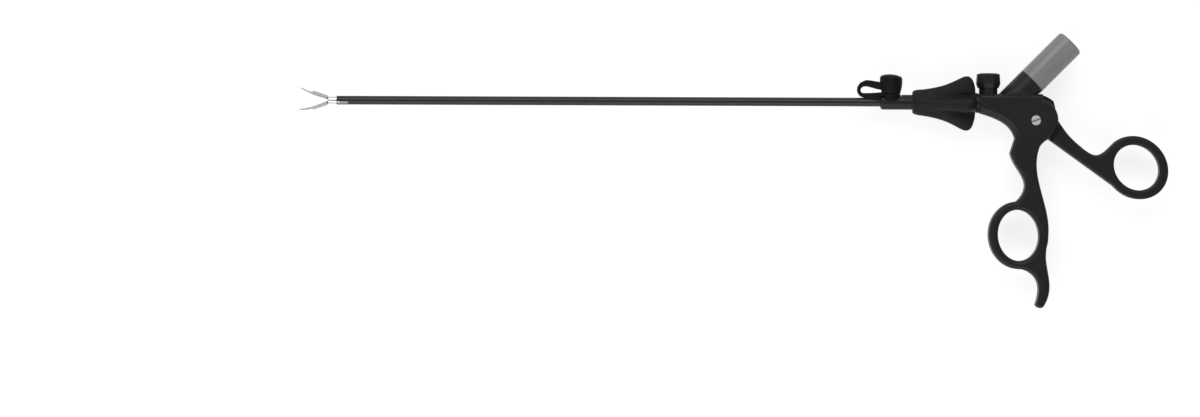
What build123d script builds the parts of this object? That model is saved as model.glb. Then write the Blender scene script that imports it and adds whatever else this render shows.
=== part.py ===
from build123d import *
from math import cos, radians, sin, sqrt
import os

# Bipolar forceps for keyhole surgery, 5 mm, with a handle that the shaft comes out of.
# Millimetres. The instrument lies on its side, as on a tray.
# +X runs along the shaft towards the handle, so the jaws point to -X.
# +Y is the side of the release button, the flush port and the connector.
# +Z is the left cheek of the handle, which faces up.
# The origin is on the shaft's axis, at the far face of the hub.

# Fits, all radial or on one side
RUN = 0.05
SLIP = 0.1
GAP = 0.3

# Long enough for a cut to pass right through the instrument's thickness
THROUGH = 60.0

# Shaft: an insulated steel tube
SHAFT_R = 2.5
SHAFT_LENGTH = 308.2
INSULATION_WALL = 0.25
STEEL_WALL = 0.25
STEEL_START_IN = 1.4
CUTBACK_START = 0.4
CUTBACK_LENGTH = 6.0
CUTBACK_TOP = -0.8

# Hub behind the shaft
HUB_R = 4.25
HUB_LENGTH = 19.4
HUB_CHAMFER = 0.8
HUB_TAIL_R = 4.0
HUB_TAIL_LENGTH = 11.0

# Drive collar and spigot, which plug into the handle
COLLAR_FLATS = 7.9
COLLAR_LENGTH = 6.6
SPIGOT_R = 2.45
SPIGOT_END = 71.0
SPIGOT_STUB_LENGTH = 6.4
SPIGOT_TIP_CHAMFER = 0.8
LATCH_X = 61.0
LATCH_GROOVE_R = 2.0
LATCH_GROOVE_WIDTH = 1.5

# Pull rod, its insulation and its ball
ROD_R = 0.9
ROD_INSULATION_WALL = 0.3
ROD_NECK_R = 0.6
ROD_NECK_LENGTH = 6.4
ROD_INSULATION_END_GAP = 2.0
BALL_R = 1.2
ROD_SOCKET_LENGTH = 9.0
ROD_SOCKET_DEPTH = 6.0
GUIDE_LENGTH = 5.0
GUIDE_FRONT_IN = 108.0
GUIDE_REAR_IN = 40.0

# Jaws, drawn shut and then opened
JAW_PIVOT_OUT = 4.0
JAW_LENGTH = 18.2
JAW_OPEN = 18.9
JAW_ENVELOPE_R = 2.3
JAW_BODY_END = 10.2
JAW_BODY_START = 2.1
JAW_BODY_HEIGHT = 2.2
JAW_BLADE_HEIGHT = 1.15
JAW_TIP_HEIGHT = 0.75
JAW_ROOT_WIDTH = 4.0
JAW_TIP_WIDTH = 2.2
JAW_DIP = -0.25
JAW_DIP_AT = 10.0
JAW_TIP_RISE = 0.85
JAW_SHUT_GAP = 0.04
TOOTH_PITCH = 0.8
TOOTH_DEPTH = 0.22
TEETH_START = 4.4
WINDOW_START = 4.6
WINDOW_END = 9.4
WINDOW_WIDTH = 1.4
TAIL_INNER_Z = 0.35
TAIL_OUTER_Z = 1.1
TAIL_WALL = 0.25
CAM_SHUT = 4.04
CAM_PIN_R = 0.35
JAW_PIN_R = 0.45
JAW_EYE_R = 1.25

# Clevis that carries the jaws
CLEVIS_R = 2.3
CLEVIS_EDGE = 0.5
CLEVIS_NOSE = 1.2
CLEVIS_SLOT_Z = 1.2
CLEVIS_SLOT_END = 5.4
CLEVIS_LENGTH = 12.2
TONGUE_Z = 0.3
TONGUE_Y = 0.65
TONGUE_LENGTH = 4.2

# Flush port, its cap and strap
PORT_X = 6.0
PORT_SEAT_Y = 3.3
PORT_NECK_R = 3.4
PORT_NECK_TOP = 4.5
PORT_LUER_R = 2.5
PORT_LUER_TOP = 12.6
PORT_LUER_TIP_R = 2.1
PORT_BORE_R = 1.0
PORT_STUB_R = 1.8
PORT_STUB_DEPTH = 0.8
CAP_R = 6.4
CAP_FOOT_R = 5.3
CAP_BOTTOM = 4.6
CAP_TOP = 15.8
CAP_TAPER_TOP = 8.0
CAP_CAVITY_R = 3.6
CAP_CAVITY_TOP = 13.4
CAP_EDGE = 1.2
STRAP_HALF_WIDTH = 2.8
STRAP_RING_R = 5.9
STRAP_SKIRT_Y = 1.3
STRAP_END_X = -13.1
STRAP_LOW_Y = 3.4
STRAP_LOW_THICKNESS = 2.0
STRAP_TOP_Y = 12.0
STRAP_TOP_THICKNESS = 3.4
STRAP_BEND_THICKNESS = 2.3

# Rotation knob
KNOB_START = 18.1
KNOB_END = 53.3
KNOB_LOBES = 5
KNOB_FIRST_LOBE = 28.0
KNOB_LOBE_R = 16.2
KNOB_VALLEY_FRONT_R = 6.9
KNOB_VALLEY_REAR_R = 8.0
KNOB_LOBE_FULLNESS = 0.85
KNOB_MOUTH_R = 7.6
KNOB_MOUTH_DEPTH = 1.5

# The knob's side view over a lobe, as shares of its length and of the lobe's radius
KNOB_CREST = (
    (0.000, 0.364),
    (0.014, 0.398),
    (0.034, 0.420),
    (0.153, 0.475),
    (0.295, 0.530),
    (0.423, 0.600),
    (0.537, 0.685),
    (0.651, 0.800),
    (0.736, 0.900),
    (0.801, 0.970),
    (0.858, 1.000),
    (0.906, 0.975),
    (0.946, 0.895),
    (0.974, 0.770),
    (0.991, 0.650),
    (1.000, 0.545),
)
BEZEL_LENGTH = 0.8
BEZEL_WIDTH = 1.15
KNOB_WALL_X = 38.8
RETAINER_X = 42.0
RETAINER_LENGTH = 1.2
RETAINER_R = 6.2
RETAINER_DEPTH = 0.7

# Handle nose
NOSE_R = 5.4
NOSE_START = 39.3
NECK_START = 54.2
NECK_R = 5.9
BODY_START = 55.0

# Handle body, grip and rings
BODY_HALF = 6.0
BODY_EDGE = 2.2
PALM_EDGE = 4.5
BODY_TOP = 4.8
BODY_TOP_END = 91.8
GRIP_ROOT = (84.0, -14.0)
GRIP_EDGE = 2.2
PIVOT_X = 87.75
PIVOT_DROP = 10.08
CHEEK_R = 12.8
FINGER_RING = (78.2, -75.25)
FINGER_RING_OUTER = (16.92, 19.18)
FINGER_RING_INNER = (11.64, 14.48)
FINGER_RING_TURN = 6.0

# Thumb lever
LEVER_HALF = 2.5
LEVER_SIDE_GAP = 0.2
LEVER_OUTER_HALF = 4.6
LEVER_EDGE = 1.5
LEVER_EYE_R = 8.0
LEVER_HEAD_R = 14.8
LEVER_HEAD_FROM = 46.0
LEVER_HEAD_TO = 84.0
LEVER_THICK_FROM_R = 14.9
LEVER_RANGE = 15.0
THUMB_RING = (145.0, -36.6)
THUMB_RING_OUTER = (19.0, 16.85)
THUMB_RING_INNER = (13.7, 11.98)
THUMB_RING_TURN = -45.0
SLOT_GAP = 0.8
SLOT_FRONT_X = 80.0
SLOT_EYE_GAP = 1.0
ARM_UNDER_OFFSET = 4.4
ARM_UNDER_TURN = -35.65

# Ball fork in the lever
FORK_HALF = 1.5
FORK_HALF_WIDTH = 3.75
FORK_BOTTOM = 4.4
FORK_TOP = 12.2
FORK_SLOT_BOTTOM = 8.2
FORK_SLIT_HALF = 0.75
FORK_CORNER_R = 1.2
RIVET_R = 0.6
RIVET_OUT = 2.3
RIVET_UP = 6.1

# Pivot
PIVOT_SHANK_R = 2.0
PIVOT_HEAD_R = 2.8
PIVOT_HEAD_LENGTH = 1.4
PIVOT_HEAD_PROUD = 0.3
PIVOT_NUT_LENGTH = 2.2
PIVOT_NUT_FACE = 0.6
DRIVER_SLOT_WIDTH = 0.8
DRIVER_SLOT_DEPTH = 0.6
BUSH_R = 3.2

# Release button
BUTTON_FLATS = 13.4
BUTTON_TOP_FLATS = 12.6
BUTTON_TOP = 16.6
BUTTON_DOME = 0.6
BUTTON_DOME_WIDTH = 1.8
BUTTON_GAP = 0.2
STEM_IN_BUTTON = 1.5
BUTTON_BOTTOM = 8.2
BUTTON_FOOT_IN = 0.9
BUTTON_FOOT_LENGTH = 2.4
BUTTON_ROOF = 13.2
BUTTON_TRAVEL = 2.2
GUIDE_FLATS = 10.2
GUIDE_BOTTOM = 3.5
GUIDE_TOP = 10.0
GUIDE_LEDGE_BOTTOM = 5.8
GUIDE_LEDGE_TOP = 6.8
GUIDE_SPRING_R = 3.2
STEM_R = 1.2
LATCH_THICKNESS = 1.2
LATCH_HALF_WIDTH = 3.6
LATCH_BOTTOM = -4.2
LATCH_TOP = 5.6
SPRING_WIRE_R = 0.35
SPRING_R = 2.5
SPRING_TURN_STEP = 0.64

# Connector at 45 degrees
CONNECTOR_TURN = 45.0
CONNECTOR_FOOT = (85.94, 12.4)
CONNECTOR_R = 8.1
CONNECTOR_LENGTH = 30.9
CONNECTOR_WALL = 1.6
CONNECTOR_FLOOR = 4.0
CONNECTOR_LIP = 1.0
BOSS_FOOT_DROP = 1.2
INSULATOR_TOP = 12.0
CONTACT_R = 1.2
CONTACT_SPACING = 6.6
CONTACT_TIP = 20.0

# Worked out from the sizes above
JAW_PIVOT_X = -SHAFT_LENGTH - JAW_PIVOT_OUT
BEZEL_OUTER_R = HUB_R + SLIP + BEZEL_WIDTH
STEEL_R = SHAFT_R - INSULATION_WALL
LUMEN_R = STEEL_R - STEEL_WALL
STEEL_START = -SHAFT_LENGTH + STEEL_START_IN
HUB_END = HUB_LENGTH + HUB_TAIL_LENGTH
COLLAR_END = HUB_END + COLLAR_LENGTH
ROD_OUTER_R = ROD_R + ROD_INSULATION_WALL
ROD_TRAVEL = PIVOT_DROP * radians(LEVER_RANGE)
BALL_X = PIVOT_X - ROD_TRAVEL / 2
CAM_OPEN = CAM_SHUT - ROD_TRAVEL
CAM_PIN_X = JAW_PIVOT_X + CAM_OPEN
ROD_START = CAM_PIN_X + TONGUE_LENGTH
PIVOT = Vector(PIVOT_X, -PIVOT_DROP, 0)


def along_x(x, radius, length, bore=0.0):
    """A cylinder or tube about the X axis from x to x + length."""
    body = Pos(x, 0, 0) * Rot(0, 90, 0) * Cylinder(
        radius, length, align=(Align.CENTER, Align.CENTER, Align.MIN)
    )
    if bore:
        body -= along_x(x, bore, length)
    return body


def along_y(x, y, radius, length):
    """A cylinder about a line parallel to Y, from y to y + length."""
    body = Cylinder(radius, length, align=(Align.CENTER, Align.CENTER, Align.MIN))
    return Pos(x, y, 0) * Rot(-90, 0, 0) * body


def along_z(x, y, radius, z0, z1):
    """A cylinder about a line parallel to Z, from z0 to z1."""
    body = Cylinder(radius, z1 - z0, align=(Align.CENTER, Align.CENTER, Align.MIN))
    return Pos(x, y, z0) * body


def turned_x(points):
    """A solid turned about the X axis from a closed outline of (x, radius) points."""
    return revolve(make_face(Polyline(*points, close=True)), Axis.X)


def slab(outline, half):
    """An outline in XY given a thickness of half to each side of Z = 0."""
    return extrude(outline, amount=half, both=True)


def box(x0, x1, y0, y1, z0, z1):
    """A block between two corners."""
    size = Box(x1 - x0, y1 - y0, z1 - z0, align=(Align.MIN, Align.MIN, Align.MIN))
    return Pos(x0, y0, z0) * size


def octagon(flats):
    """An eight-sided face with its flats square to the axes."""
    return RegularPolygon(flats / 2, 8, major_radius=False, rotation=22.5)


def octagon_y(flats, x, y0, y1):
    """An upright eight-sided bar with a flat towards each of X and Z."""
    return Pos(x, y0, 0) * Rot(-90, 0, 0) * extrude(octagon(flats), amount=y1 - y0)


def octagon_x(flats, x0, x1):
    """An eight-sided bar along X."""
    return Pos(x0, 0, 0) * Rot(0, 90, 0) * extrude(octagon(flats), amount=x1 - x0)


def flat_face_edges(body, half):
    """The edges that outline the two flat faces at Z = +half and Z = -half."""
    faces = [f for f in body.faces().filter_by(Plane.XY) if abs(abs(f.center().Z) - half) < 1e-3]
    return ShapeList([edge for face in faces for edge in face.edges()])


def ellipse_face(centre, semi, turn):
    """An ellipse with its semi-axes along X and Y, then turned."""
    return Pos(centre[0], centre[1], 0) * Rot(0, 0, turn) * Ellipse(semi[0], semi[1])


# Jaws


def jaw_mating(u):
    """Height of the line where the shut jaws meet, u in front of the pivot."""
    if u <= JAW_DIP_AT:
        return JAW_DIP * sin(radians(90) * u / JAW_DIP_AT)
    rise = (u - JAW_DIP_AT) / (JAW_LENGTH - JAW_DIP_AT)
    return JAW_DIP + (JAW_TIP_RISE - JAW_DIP) * rise ** 1.5


def jaw_profile(side):
    """The side view of one shut jaw, side +1 for the upper and -1 for the lower."""
    step = JAW_SHUT_GAP / 2 * side
    meet = [(-u, jaw_mating(u) + step) for u in (JAW_BODY_START, 6.0, JAW_DIP_AT, 14.0, JAW_LENGTH)]
    back = [
        (-JAW_LENGTH, jaw_mating(JAW_LENGTH) + side * JAW_TIP_HEIGHT),
        (-14.0, jaw_mating(14.0) + side * JAW_BLADE_HEIGHT),
        (-JAW_BODY_END - 1.2, jaw_mating(JAW_BODY_END + 1.2) + side * (JAW_BLADE_HEIGHT + 0.15)),
    ]
    shoulder = (-JAW_BODY_END, side * JAW_BODY_HEIGHT)
    root = (-JAW_BODY_START, side * JAW_BODY_HEIGHT)
    edges = [
        Spline(*meet),
        Line(meet[-1], back[0]),
        Spline(*back),
        Line(back[-1], shoulder),
        Line(shoulder, root),
        Line(root, meet[0]),
    ]
    return make_face(edges)


def jaw_plan():
    """The width of both jaws from above, narrowing to a round tip, as a bar along Y."""
    root, tip = JAW_ROOT_WIDTH / 2, JAW_TIP_WIDTH / 2
    edges = [
        Line((-JAW_BODY_START + 1, root), (-JAW_BODY_END, root)),
        Line((-JAW_BODY_END, root), (-JAW_LENGTH + tip, tip)),
        ThreePointArc((-JAW_LENGTH + tip, tip), (-JAW_LENGTH, 0), (-JAW_LENGTH + tip, -tip)),
        Line((-JAW_LENGTH + tip, -tip), (-JAW_BODY_END, -root)),
        Line((-JAW_BODY_END, -root), (-JAW_BODY_START + 1, -root)),
        Line((-JAW_BODY_START + 1, -root), (-JAW_BODY_START + 1, root)),
    ]
    return Rot(90, 0, 0) * extrude(make_face(edges), amount=6, both=True)


def jaw_teeth(side):
    """The cross grooves in one jaw's mating face."""
    grooves = []
    count = int((JAW_LENGTH - 1.5 - TEETH_START) / TOOTH_PITCH)
    for index in range(count):
        u = TEETH_START + TOOTH_PITCH * (index + (0.5 if side > 0 else 0.0))
        y = jaw_mating(u) + side * JAW_SHUT_GAP / 2
        half = TOOTH_PITCH * 0.36
        points = [(-u - half, y - side * 0.02), (-u + half, y - side * 0.02), (-u, y + side * TOOTH_DEPTH)]
        grooves.append(slab(make_face(Polyline(*points, close=True)), JAW_ROOT_WIDTH))
    return grooves


def cam_point(side, opening):
    """Where the drive pin lies in a jaw's own frame at an opening in degrees."""
    reach = CAM_SHUT - (CAM_SHUT - CAM_OPEN) * opening / JAW_OPEN
    turn = radians(opening)
    return reach * cos(turn), side * reach * sin(turn)


def cam_path(side):
    """The centre line of the cam slot, from shut to open."""
    return ThreePointArc(*(cam_point(side, JAW_OPEN * share) for share in (0.0, 0.5, 1.0)))


def cam_outline(side, half_width):
    """The cam slot, or the tail around it, as a slot of this half width."""
    return SlotArc(cam_path(side), 2 * half_width)


def jaw(side):
    """One jaw about its pivot at (0, 0), shut, with its cam tail behind the pivot."""
    blade = extrude(jaw_profile(side), amount=JAW_ROOT_WIDTH, both=True)
    blade = blade & jaw_plan()
    blade = blade & along_x(-JAW_LENGTH - 1, JAW_ENVELOPE_R, JAW_LENGTH + 2)
    window = extrude(
        Pos(-(WINDOW_START + WINDOW_END) / 2, 0)
        * SlotOverall(WINDOW_END - WINDOW_START, WINDOW_WIDTH),
        amount=5,
        both=True,
    )
    blade -= Rot(90, 0, 0) * window
    for groove in jaw_teeth(side):
        blade -= groove
    cam_half = CAM_PIN_R + RUN
    eye = Circle(JAW_EYE_R)
    root = JAW_BODY_START + 0.4
    link = make_face(
        Polyline(
            (-root, jaw_mating(root) + side * JAW_SHUT_GAP / 2),
            (-root, side * JAW_BODY_HEIGHT * 0.8),
            (0, side * JAW_EYE_R),
            (0, 0),
            close=True,
        )
    )
    tail_outline = eye + link + cam_outline(side, cam_half + TAIL_WALL)
    tail_outline -= Circle(JAW_PIN_R + RUN)
    tail_outline -= cam_outline(side, cam_half)
    tail = extrude(tail_outline, amount=TAIL_OUTER_Z - TAIL_INNER_Z)
    low = TAIL_INNER_Z if side > 0 else -TAIL_OUTER_Z
    whole = blade + Pos(0, 0, low) * tail
    turned = Rot(0, 0, -side * JAW_OPEN) * whole
    return Pos(JAW_PIVOT_X, 0, 0) * turned


def jaw_clevis():
    """The fork at the end of the shaft that carries the jaws' pivot pin."""
    nose_x = JAW_PIVOT_X - CLEVIS_NOSE
    end_x = JAW_PIVOT_X + CLEVIS_LENGTH
    body = turned_x(
        [
            (nose_x, 0),
            (nose_x, CLEVIS_R - CLEVIS_EDGE),
            (nose_x + CLEVIS_EDGE, CLEVIS_R),
            (-SHAFT_LENGTH, CLEVIS_R),
            (-SHAFT_LENGTH, STEEL_R),
            (STEEL_START, STEEL_R),
            (STEEL_START, LUMEN_R),
            (end_x, LUMEN_R),
            (end_x, 0),
        ]
    )
    slot_end = JAW_PIVOT_X + CLEVIS_SLOT_END
    body -= box(nose_x - 1, slot_end, -THROUGH, THROUGH, -CLEVIS_SLOT_Z, CLEVIS_SLOT_Z)
    body -= along_x(slot_end - 1, ROD_OUTER_R + RUN, end_x - slot_end + 2)
    body -= along_z(JAW_PIVOT_X, 0, JAW_PIN_R, -5, 5)
    return body


def jaw_pivot_pin():
    """The pin through both arms of the clevis and both jaws, flush outside."""
    pin = along_z(JAW_PIVOT_X, 0, JAW_PIN_R, -CLEVIS_R, CLEVIS_R)
    return pin & along_x(JAW_PIVOT_X - JAW_EYE_R, CLEVIS_R - RUN, 2 * JAW_EYE_R)


def drive_tongue():
    """The flat tongue that carries the cam pin, with the socket for the pull rod."""
    plate = SlotCenterToCenter(2 * TONGUE_LENGTH, 2 * TONGUE_Y)
    tongue = slab(Pos(CAM_PIN_X + TONGUE_LENGTH, 0) * plate, TONGUE_Z)
    tongue = tongue & box(CAM_PIN_X - 2, ROD_START + 1, -2, 2, -2, 2)
    socket = along_x(ROD_START, ROD_OUTER_R, ROD_SOCKET_LENGTH)
    socket = chamfer(socket.edges().group_by(Axis.X)[0], 0.3)
    socket -= along_x(ROD_START + ROD_SOCKET_LENGTH - ROD_SOCKET_DEPTH, ROD_R, ROD_SOCKET_DEPTH)
    return tongue + socket - along_z(CAM_PIN_X, 0, CAM_PIN_R, -1, 1)


def drive_pin():
    """The pin that runs in both cam slots."""
    return along_z(CAM_PIN_X, 0, CAM_PIN_R, -TAIL_OUTER_Z, TAIL_OUTER_Z)


# Shaft and rod


def tube_insulation():
    """The black sleeve over the steel tube up to the hub, cut back in a window near the jaws."""
    sleeve = along_x(-SHAFT_LENGTH, SHAFT_R, SHAFT_LENGTH, STEEL_R)
    cut_x = -SHAFT_LENGTH + CUTBACK_START
    return sleeve - box(cut_x, cut_x + CUTBACK_LENGTH, -SHAFT_R, CUTBACK_TOP, 0, SHAFT_R)


def outer_tube():
    """The steel tube from the clevis to the end of the hub."""
    tube = along_x(STEEL_START, STEEL_R, HUB_END - STEEL_START, LUMEN_R)
    return tube - along_y(PORT_X, 0, PORT_BORE_R, SHAFT_R + 1)


def rod_guide(place):
    """A short insulating bush that keeps the rod in the middle of the tube."""
    return along_x(place, LUMEN_R, GUIDE_LENGTH, ROD_OUTER_R + RUN)


def pull_rod():
    """The steel rod, with a thin neck that ends in the ball."""
    start = ROD_START + ROD_SOCKET_LENGTH - ROD_SOCKET_DEPTH
    neck_x = BALL_X - ROD_NECK_LENGTH
    neck_end = BALL_X - sqrt(BALL_R ** 2 - ROD_NECK_R ** 2)
    return turned_x(
        [
            (start, 0),
            (start, ROD_R),
            (neck_x - 0.5, ROD_R),
            (neck_x, ROD_NECK_R),
            (neck_end, ROD_NECK_R),
            (neck_end, 0),
        ]
    )


def rod_insulation():
    """The insulating sleeve of the pull rod."""
    start = ROD_START + ROD_SOCKET_LENGTH
    end = BALL_X - ROD_NECK_LENGTH - ROD_INSULATION_END_GAP
    return along_x(start, ROD_OUTER_R, end - start, ROD_R)


def rod_ball():
    """The ball that the lever's fork holds."""
    ball = Pos(BALL_X, 0, 0) * Sphere(BALL_R)
    neck_end = BALL_X - sqrt(BALL_R ** 2 - ROD_NECK_R ** 2)
    return ball - box(neck_end - 3, neck_end, -3, 3, -3, 3)


def shaft_hub():
    """The black hub that grips the tube, with a flat for the flush port."""
    body = turned_x(
        [
            (0, 0),
            (0, HUB_R - HUB_CHAMFER),
            (HUB_CHAMFER, HUB_R),
            (HUB_LENGTH, HUB_R),
            (HUB_LENGTH, HUB_TAIL_R),
            (HUB_END, HUB_TAIL_R),
            (HUB_END, 0),
        ]
    )
    reach = STRAP_RING_R + SLIP
    body -= box(-1, PORT_X + reach, PORT_SEAT_Y, HUB_R + 1, -HUB_R - 1, HUB_R + 1)
    body -= along_x(-1, STEEL_R, HUB_END + 2)
    return body - along_y(PORT_X, 0, PORT_STUB_R, HUB_R)


def flush_port():
    """The Luer port that stands on the hub."""
    neck = along_y(PORT_X, PORT_SEAT_Y, PORT_NECK_R, PORT_NECK_TOP - PORT_SEAT_Y)
    luer = Pos(PORT_X, PORT_NECK_TOP, 0) * Rot(-90, 0, 0) * Cone(
        PORT_LUER_R,
        PORT_LUER_TIP_R,
        PORT_LUER_TOP - PORT_NECK_TOP,
        align=(Align.CENTER, Align.CENTER, Align.MIN),
    )
    stub = along_y(PORT_X, PORT_SEAT_Y - PORT_STUB_DEPTH, PORT_STUB_R, PORT_STUB_DEPTH)
    return neck + luer + stub - along_y(PORT_X, 0, PORT_BORE_R, PORT_LUER_TOP + 1)


def port_cap():
    """The soft cap over the flush port, with a rounded top."""
    outline = [
        (0, CAP_BOTTOM),
        (CAP_FOOT_R, CAP_BOTTOM),
        (CAP_R, CAP_TAPER_TOP),
        (CAP_R, CAP_TOP),
        (0, CAP_TOP),
    ]
    body = revolve(make_face(Polyline(*outline, close=True)), Axis.Y)
    body = fillet(body.edges().group_by(Axis.Y)[-1], CAP_EDGE)
    body = Pos(PORT_X, 0, 0) * body
    return body - along_y(PORT_X, CAP_BOTTOM - 1, CAP_CAVITY_R, CAP_CAVITY_TOP - CAP_BOTTOM + 1)


def port_strap():
    """The strap that holds the cap: a ring on the hub and a loop up to the cap."""
    low_top = STRAP_LOW_Y + STRAP_LOW_THICKNESS
    top_low = STRAP_TOP_Y - STRAP_TOP_THICKNESS
    bend_x = STRAP_END_X + (STRAP_TOP_Y - STRAP_LOW_Y) / 2
    inner_x = STRAP_END_X + STRAP_BEND_THICKNESS
    middle = (STRAP_TOP_Y + STRAP_LOW_Y) / 2
    inner_bend_x = inner_x + (top_low - low_top) / 2
    end_x = PORT_X - CAP_FOOT_R
    loop = make_face(
        [
            Line((end_x, STRAP_LOW_Y), (bend_x, STRAP_LOW_Y)),
            ThreePointArc((bend_x, STRAP_LOW_Y), (STRAP_END_X, middle), (bend_x, STRAP_TOP_Y)),
            Line((bend_x, STRAP_TOP_Y), (end_x, STRAP_TOP_Y)),
            Line((end_x, STRAP_TOP_Y), (end_x, top_low - 1)),
            Line((end_x, top_low - 1), (inner_bend_x, top_low)),
            ThreePointArc((inner_bend_x, top_low), (inner_x, middle - 0.3), (inner_bend_x, low_top)),
            Line((inner_bend_x, low_top), (end_x, low_top)),
            Line((end_x, low_top), (end_x, STRAP_LOW_Y)),
        ]
    )
    strap = slab(loop, STRAP_HALF_WIDTH)
    strap -= along_y(PORT_X, CAP_BOTTOM - SLIP, CAP_R + SLIP, CAP_TOP)
    ring = along_y(PORT_X, STRAP_SKIRT_Y, STRAP_RING_R, PORT_NECK_TOP - STRAP_SKIRT_Y)
    ring -= along_x(-5, HUB_R + SLIP, HUB_END) & box(-5, HUB_END, -HUB_R, PORT_SEAT_Y, -9, 9)
    ring -= box(PORT_X - STRAP_RING_R, PORT_X + STRAP_RING_R, 0, PORT_SEAT_Y, -HUB_R, HUB_R)
    whole = strap + ring
    return whole - along_y(PORT_X, 0, PORT_NECK_R, PORT_NECK_TOP + 1)


def drive_collar():
    """The eight-sided collar that turns with the knob."""
    return octagon_x(COLLAR_FLATS, HUB_END, COLLAR_END) - along_x(HUB_END, SPIGOT_R, COLLAR_LENGTH)


def spigot():
    """The bright spigot that plugs into the handle, with the latch groove."""
    start = HUB_END - SPIGOT_STUB_LENGTH
    half = LATCH_GROOVE_WIDTH / 2
    bore = ROD_OUTER_R + RUN
    return turned_x(
        [
            (start, bore),
            (start, LUMEN_R),
            (HUB_END, LUMEN_R),
            (HUB_END, SPIGOT_R),
            (LATCH_X - half, SPIGOT_R),
            (LATCH_X - half, LATCH_GROOVE_R),
            (LATCH_X + half, LATCH_GROOVE_R),
            (LATCH_X + half, SPIGOT_R),
            (SPIGOT_END - SPIGOT_TIP_CHAMFER, SPIGOT_R),
            (SPIGOT_END, SPIGOT_R - SPIGOT_TIP_CHAMFER / 2),
            (SPIGOT_END, bore),
        ]
    )


# Rotation knob


def knob_section(along, size):
    """The knob's lobed outline at a share of its length, with a share of the lobe's radius."""
    crest = size * KNOB_LOBE_R
    valley = KNOB_VALLEY_FRONT_R + (KNOB_VALLEY_REAR_R - KNOB_VALLEY_FRONT_R) * along
    valley = min(crest, valley)
    points = []
    for step in range(8 * KNOB_LOBES):
        turn = radians(45 * step / KNOB_LOBES)
        swell = ((1 + cos(KNOB_LOBES * turn)) / 2) ** KNOB_LOBE_FULLNESS
        radius = valley + (crest - valley) * swell
        turn += radians(KNOB_FIRST_LOBE)
        points.append((radius * cos(turn), radius * sin(turn)))
    place = Pos(KNOB_START + along * (KNOB_END - KNOB_START), 0, 0)
    return place * (Plane.YZ * make_face(Spline(*points, periodic=True)))


def rotation_knob():
    """The five-lobed knob, with sockets for the hub, the collar and the handle's nose."""
    body = loft([knob_section(along, size) for along, size in KNOB_CREST])
    body -= along_x(KNOB_START - 1, HUB_R + SLIP, HUB_LENGTH - KNOB_START + 1)
    body -= along_x(KNOB_START, HUB_TAIL_R + RUN, HUB_END - KNOB_START)
    body -= octagon_x(COLLAR_FLATS + 2 * RUN, HUB_END, COLLAR_END + SLIP)
    body -= along_x(COLLAR_END, SPIGOT_R + RUN, KNOB_WALL_X - COLLAR_END + 1)
    body -= along_x(KNOB_WALL_X, NOSE_R + RUN, KNOB_END - KNOB_WALL_X)
    body -= along_x(RETAINER_X - SLIP, RETAINER_R + SLIP, RETAINER_LENGTH + 2 * SLIP)
    body -= along_x(KNOB_END - KNOB_MOUTH_DEPTH, KNOB_MOUTH_R, KNOB_MOUTH_DEPTH)
    return body - along_x(KNOB_START - 1, BEZEL_OUTER_R, 1 + BEZEL_LENGTH)


def knob_bezel():
    """The pale ring let into the knob's front face."""
    return along_x(KNOB_START, BEZEL_OUTER_R, BEZEL_LENGTH, HUB_R + SLIP)


def knob_retainer():
    """The ring on the nose that keeps the knob on it."""
    return along_x(RETAINER_X, RETAINER_R, RETAINER_LENGTH, NOSE_R - RETAINER_DEPTH)


# Handle


def body_outline():
    """The upper part of the handle: the housing and the cheeks round the pivot."""
    drop = sqrt(CHEEK_R ** 2 - (BODY_TOP_END - PIVOT_X) ** 2)
    cheek_top = (BODY_TOP_END, PIVOT.Y + drop)
    low = radians(-60)
    cheek_low = (PIVOT_X + CHEEK_R * cos(low), PIVOT.Y + CHEEK_R * sin(low))
    palm = [(73.4, -28.8), (76.1, -21.8), (73.0, -14.8), (65.2, -9.4), (BODY_START, -NECK_R)]
    heel = (88.6, palm[0][1])
    edges = [
        Line((BODY_START, BODY_TOP), (BODY_TOP_END, BODY_TOP)),
        Line((BODY_TOP_END, BODY_TOP), cheek_top),
        ThreePointArc(cheek_top, (PIVOT_X + CHEEK_R, PIVOT.Y), cheek_low),
        Spline(cheek_low, (90.5, -24.4), heel),
        Line(heel, palm[0]),
        Spline(*palm),
        Line(palm[-1], (BODY_START, BODY_TOP)),
    ]
    return make_face(edges)


def grip_outline():
    """The grip, the finger ring's outside and the hook below it."""
    front = [(73.4, -28.6), (77.6, -37.6), (81.7, -47.4), (79.6, -53.1), (70.5, -58.3)]
    ring_foot = (78.0, FINGER_RING[1] - FINGER_RING_OUTER[1])
    hook = [ring_foot, (84.4, -96.2), (88.8, -101.2), (89.6, -107.2), (87.9, -114.4)]
    tip = [hook[-1], (90.4, -116.4), (93.2, -114.4)]
    rear = [tip[-1], (95.9, -104.2), (93.8, -87.0), (95.2, -74.5), (91.7, -53.0), (88.4, -33.0)]
    rear.append((90.3, -24.6))
    edges = [
        Spline(*front),
        Line(front[-1], ring_foot),
        Spline(*hook),
        ThreePointArc(*tip),
        Spline(*rear),
        Line(rear[-1], GRIP_ROOT),
        Line(GRIP_ROOT, (77.5, -16.0)),
        Line((77.5, -16.0), front[0]),
    ]
    return make_face(edges)


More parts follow.
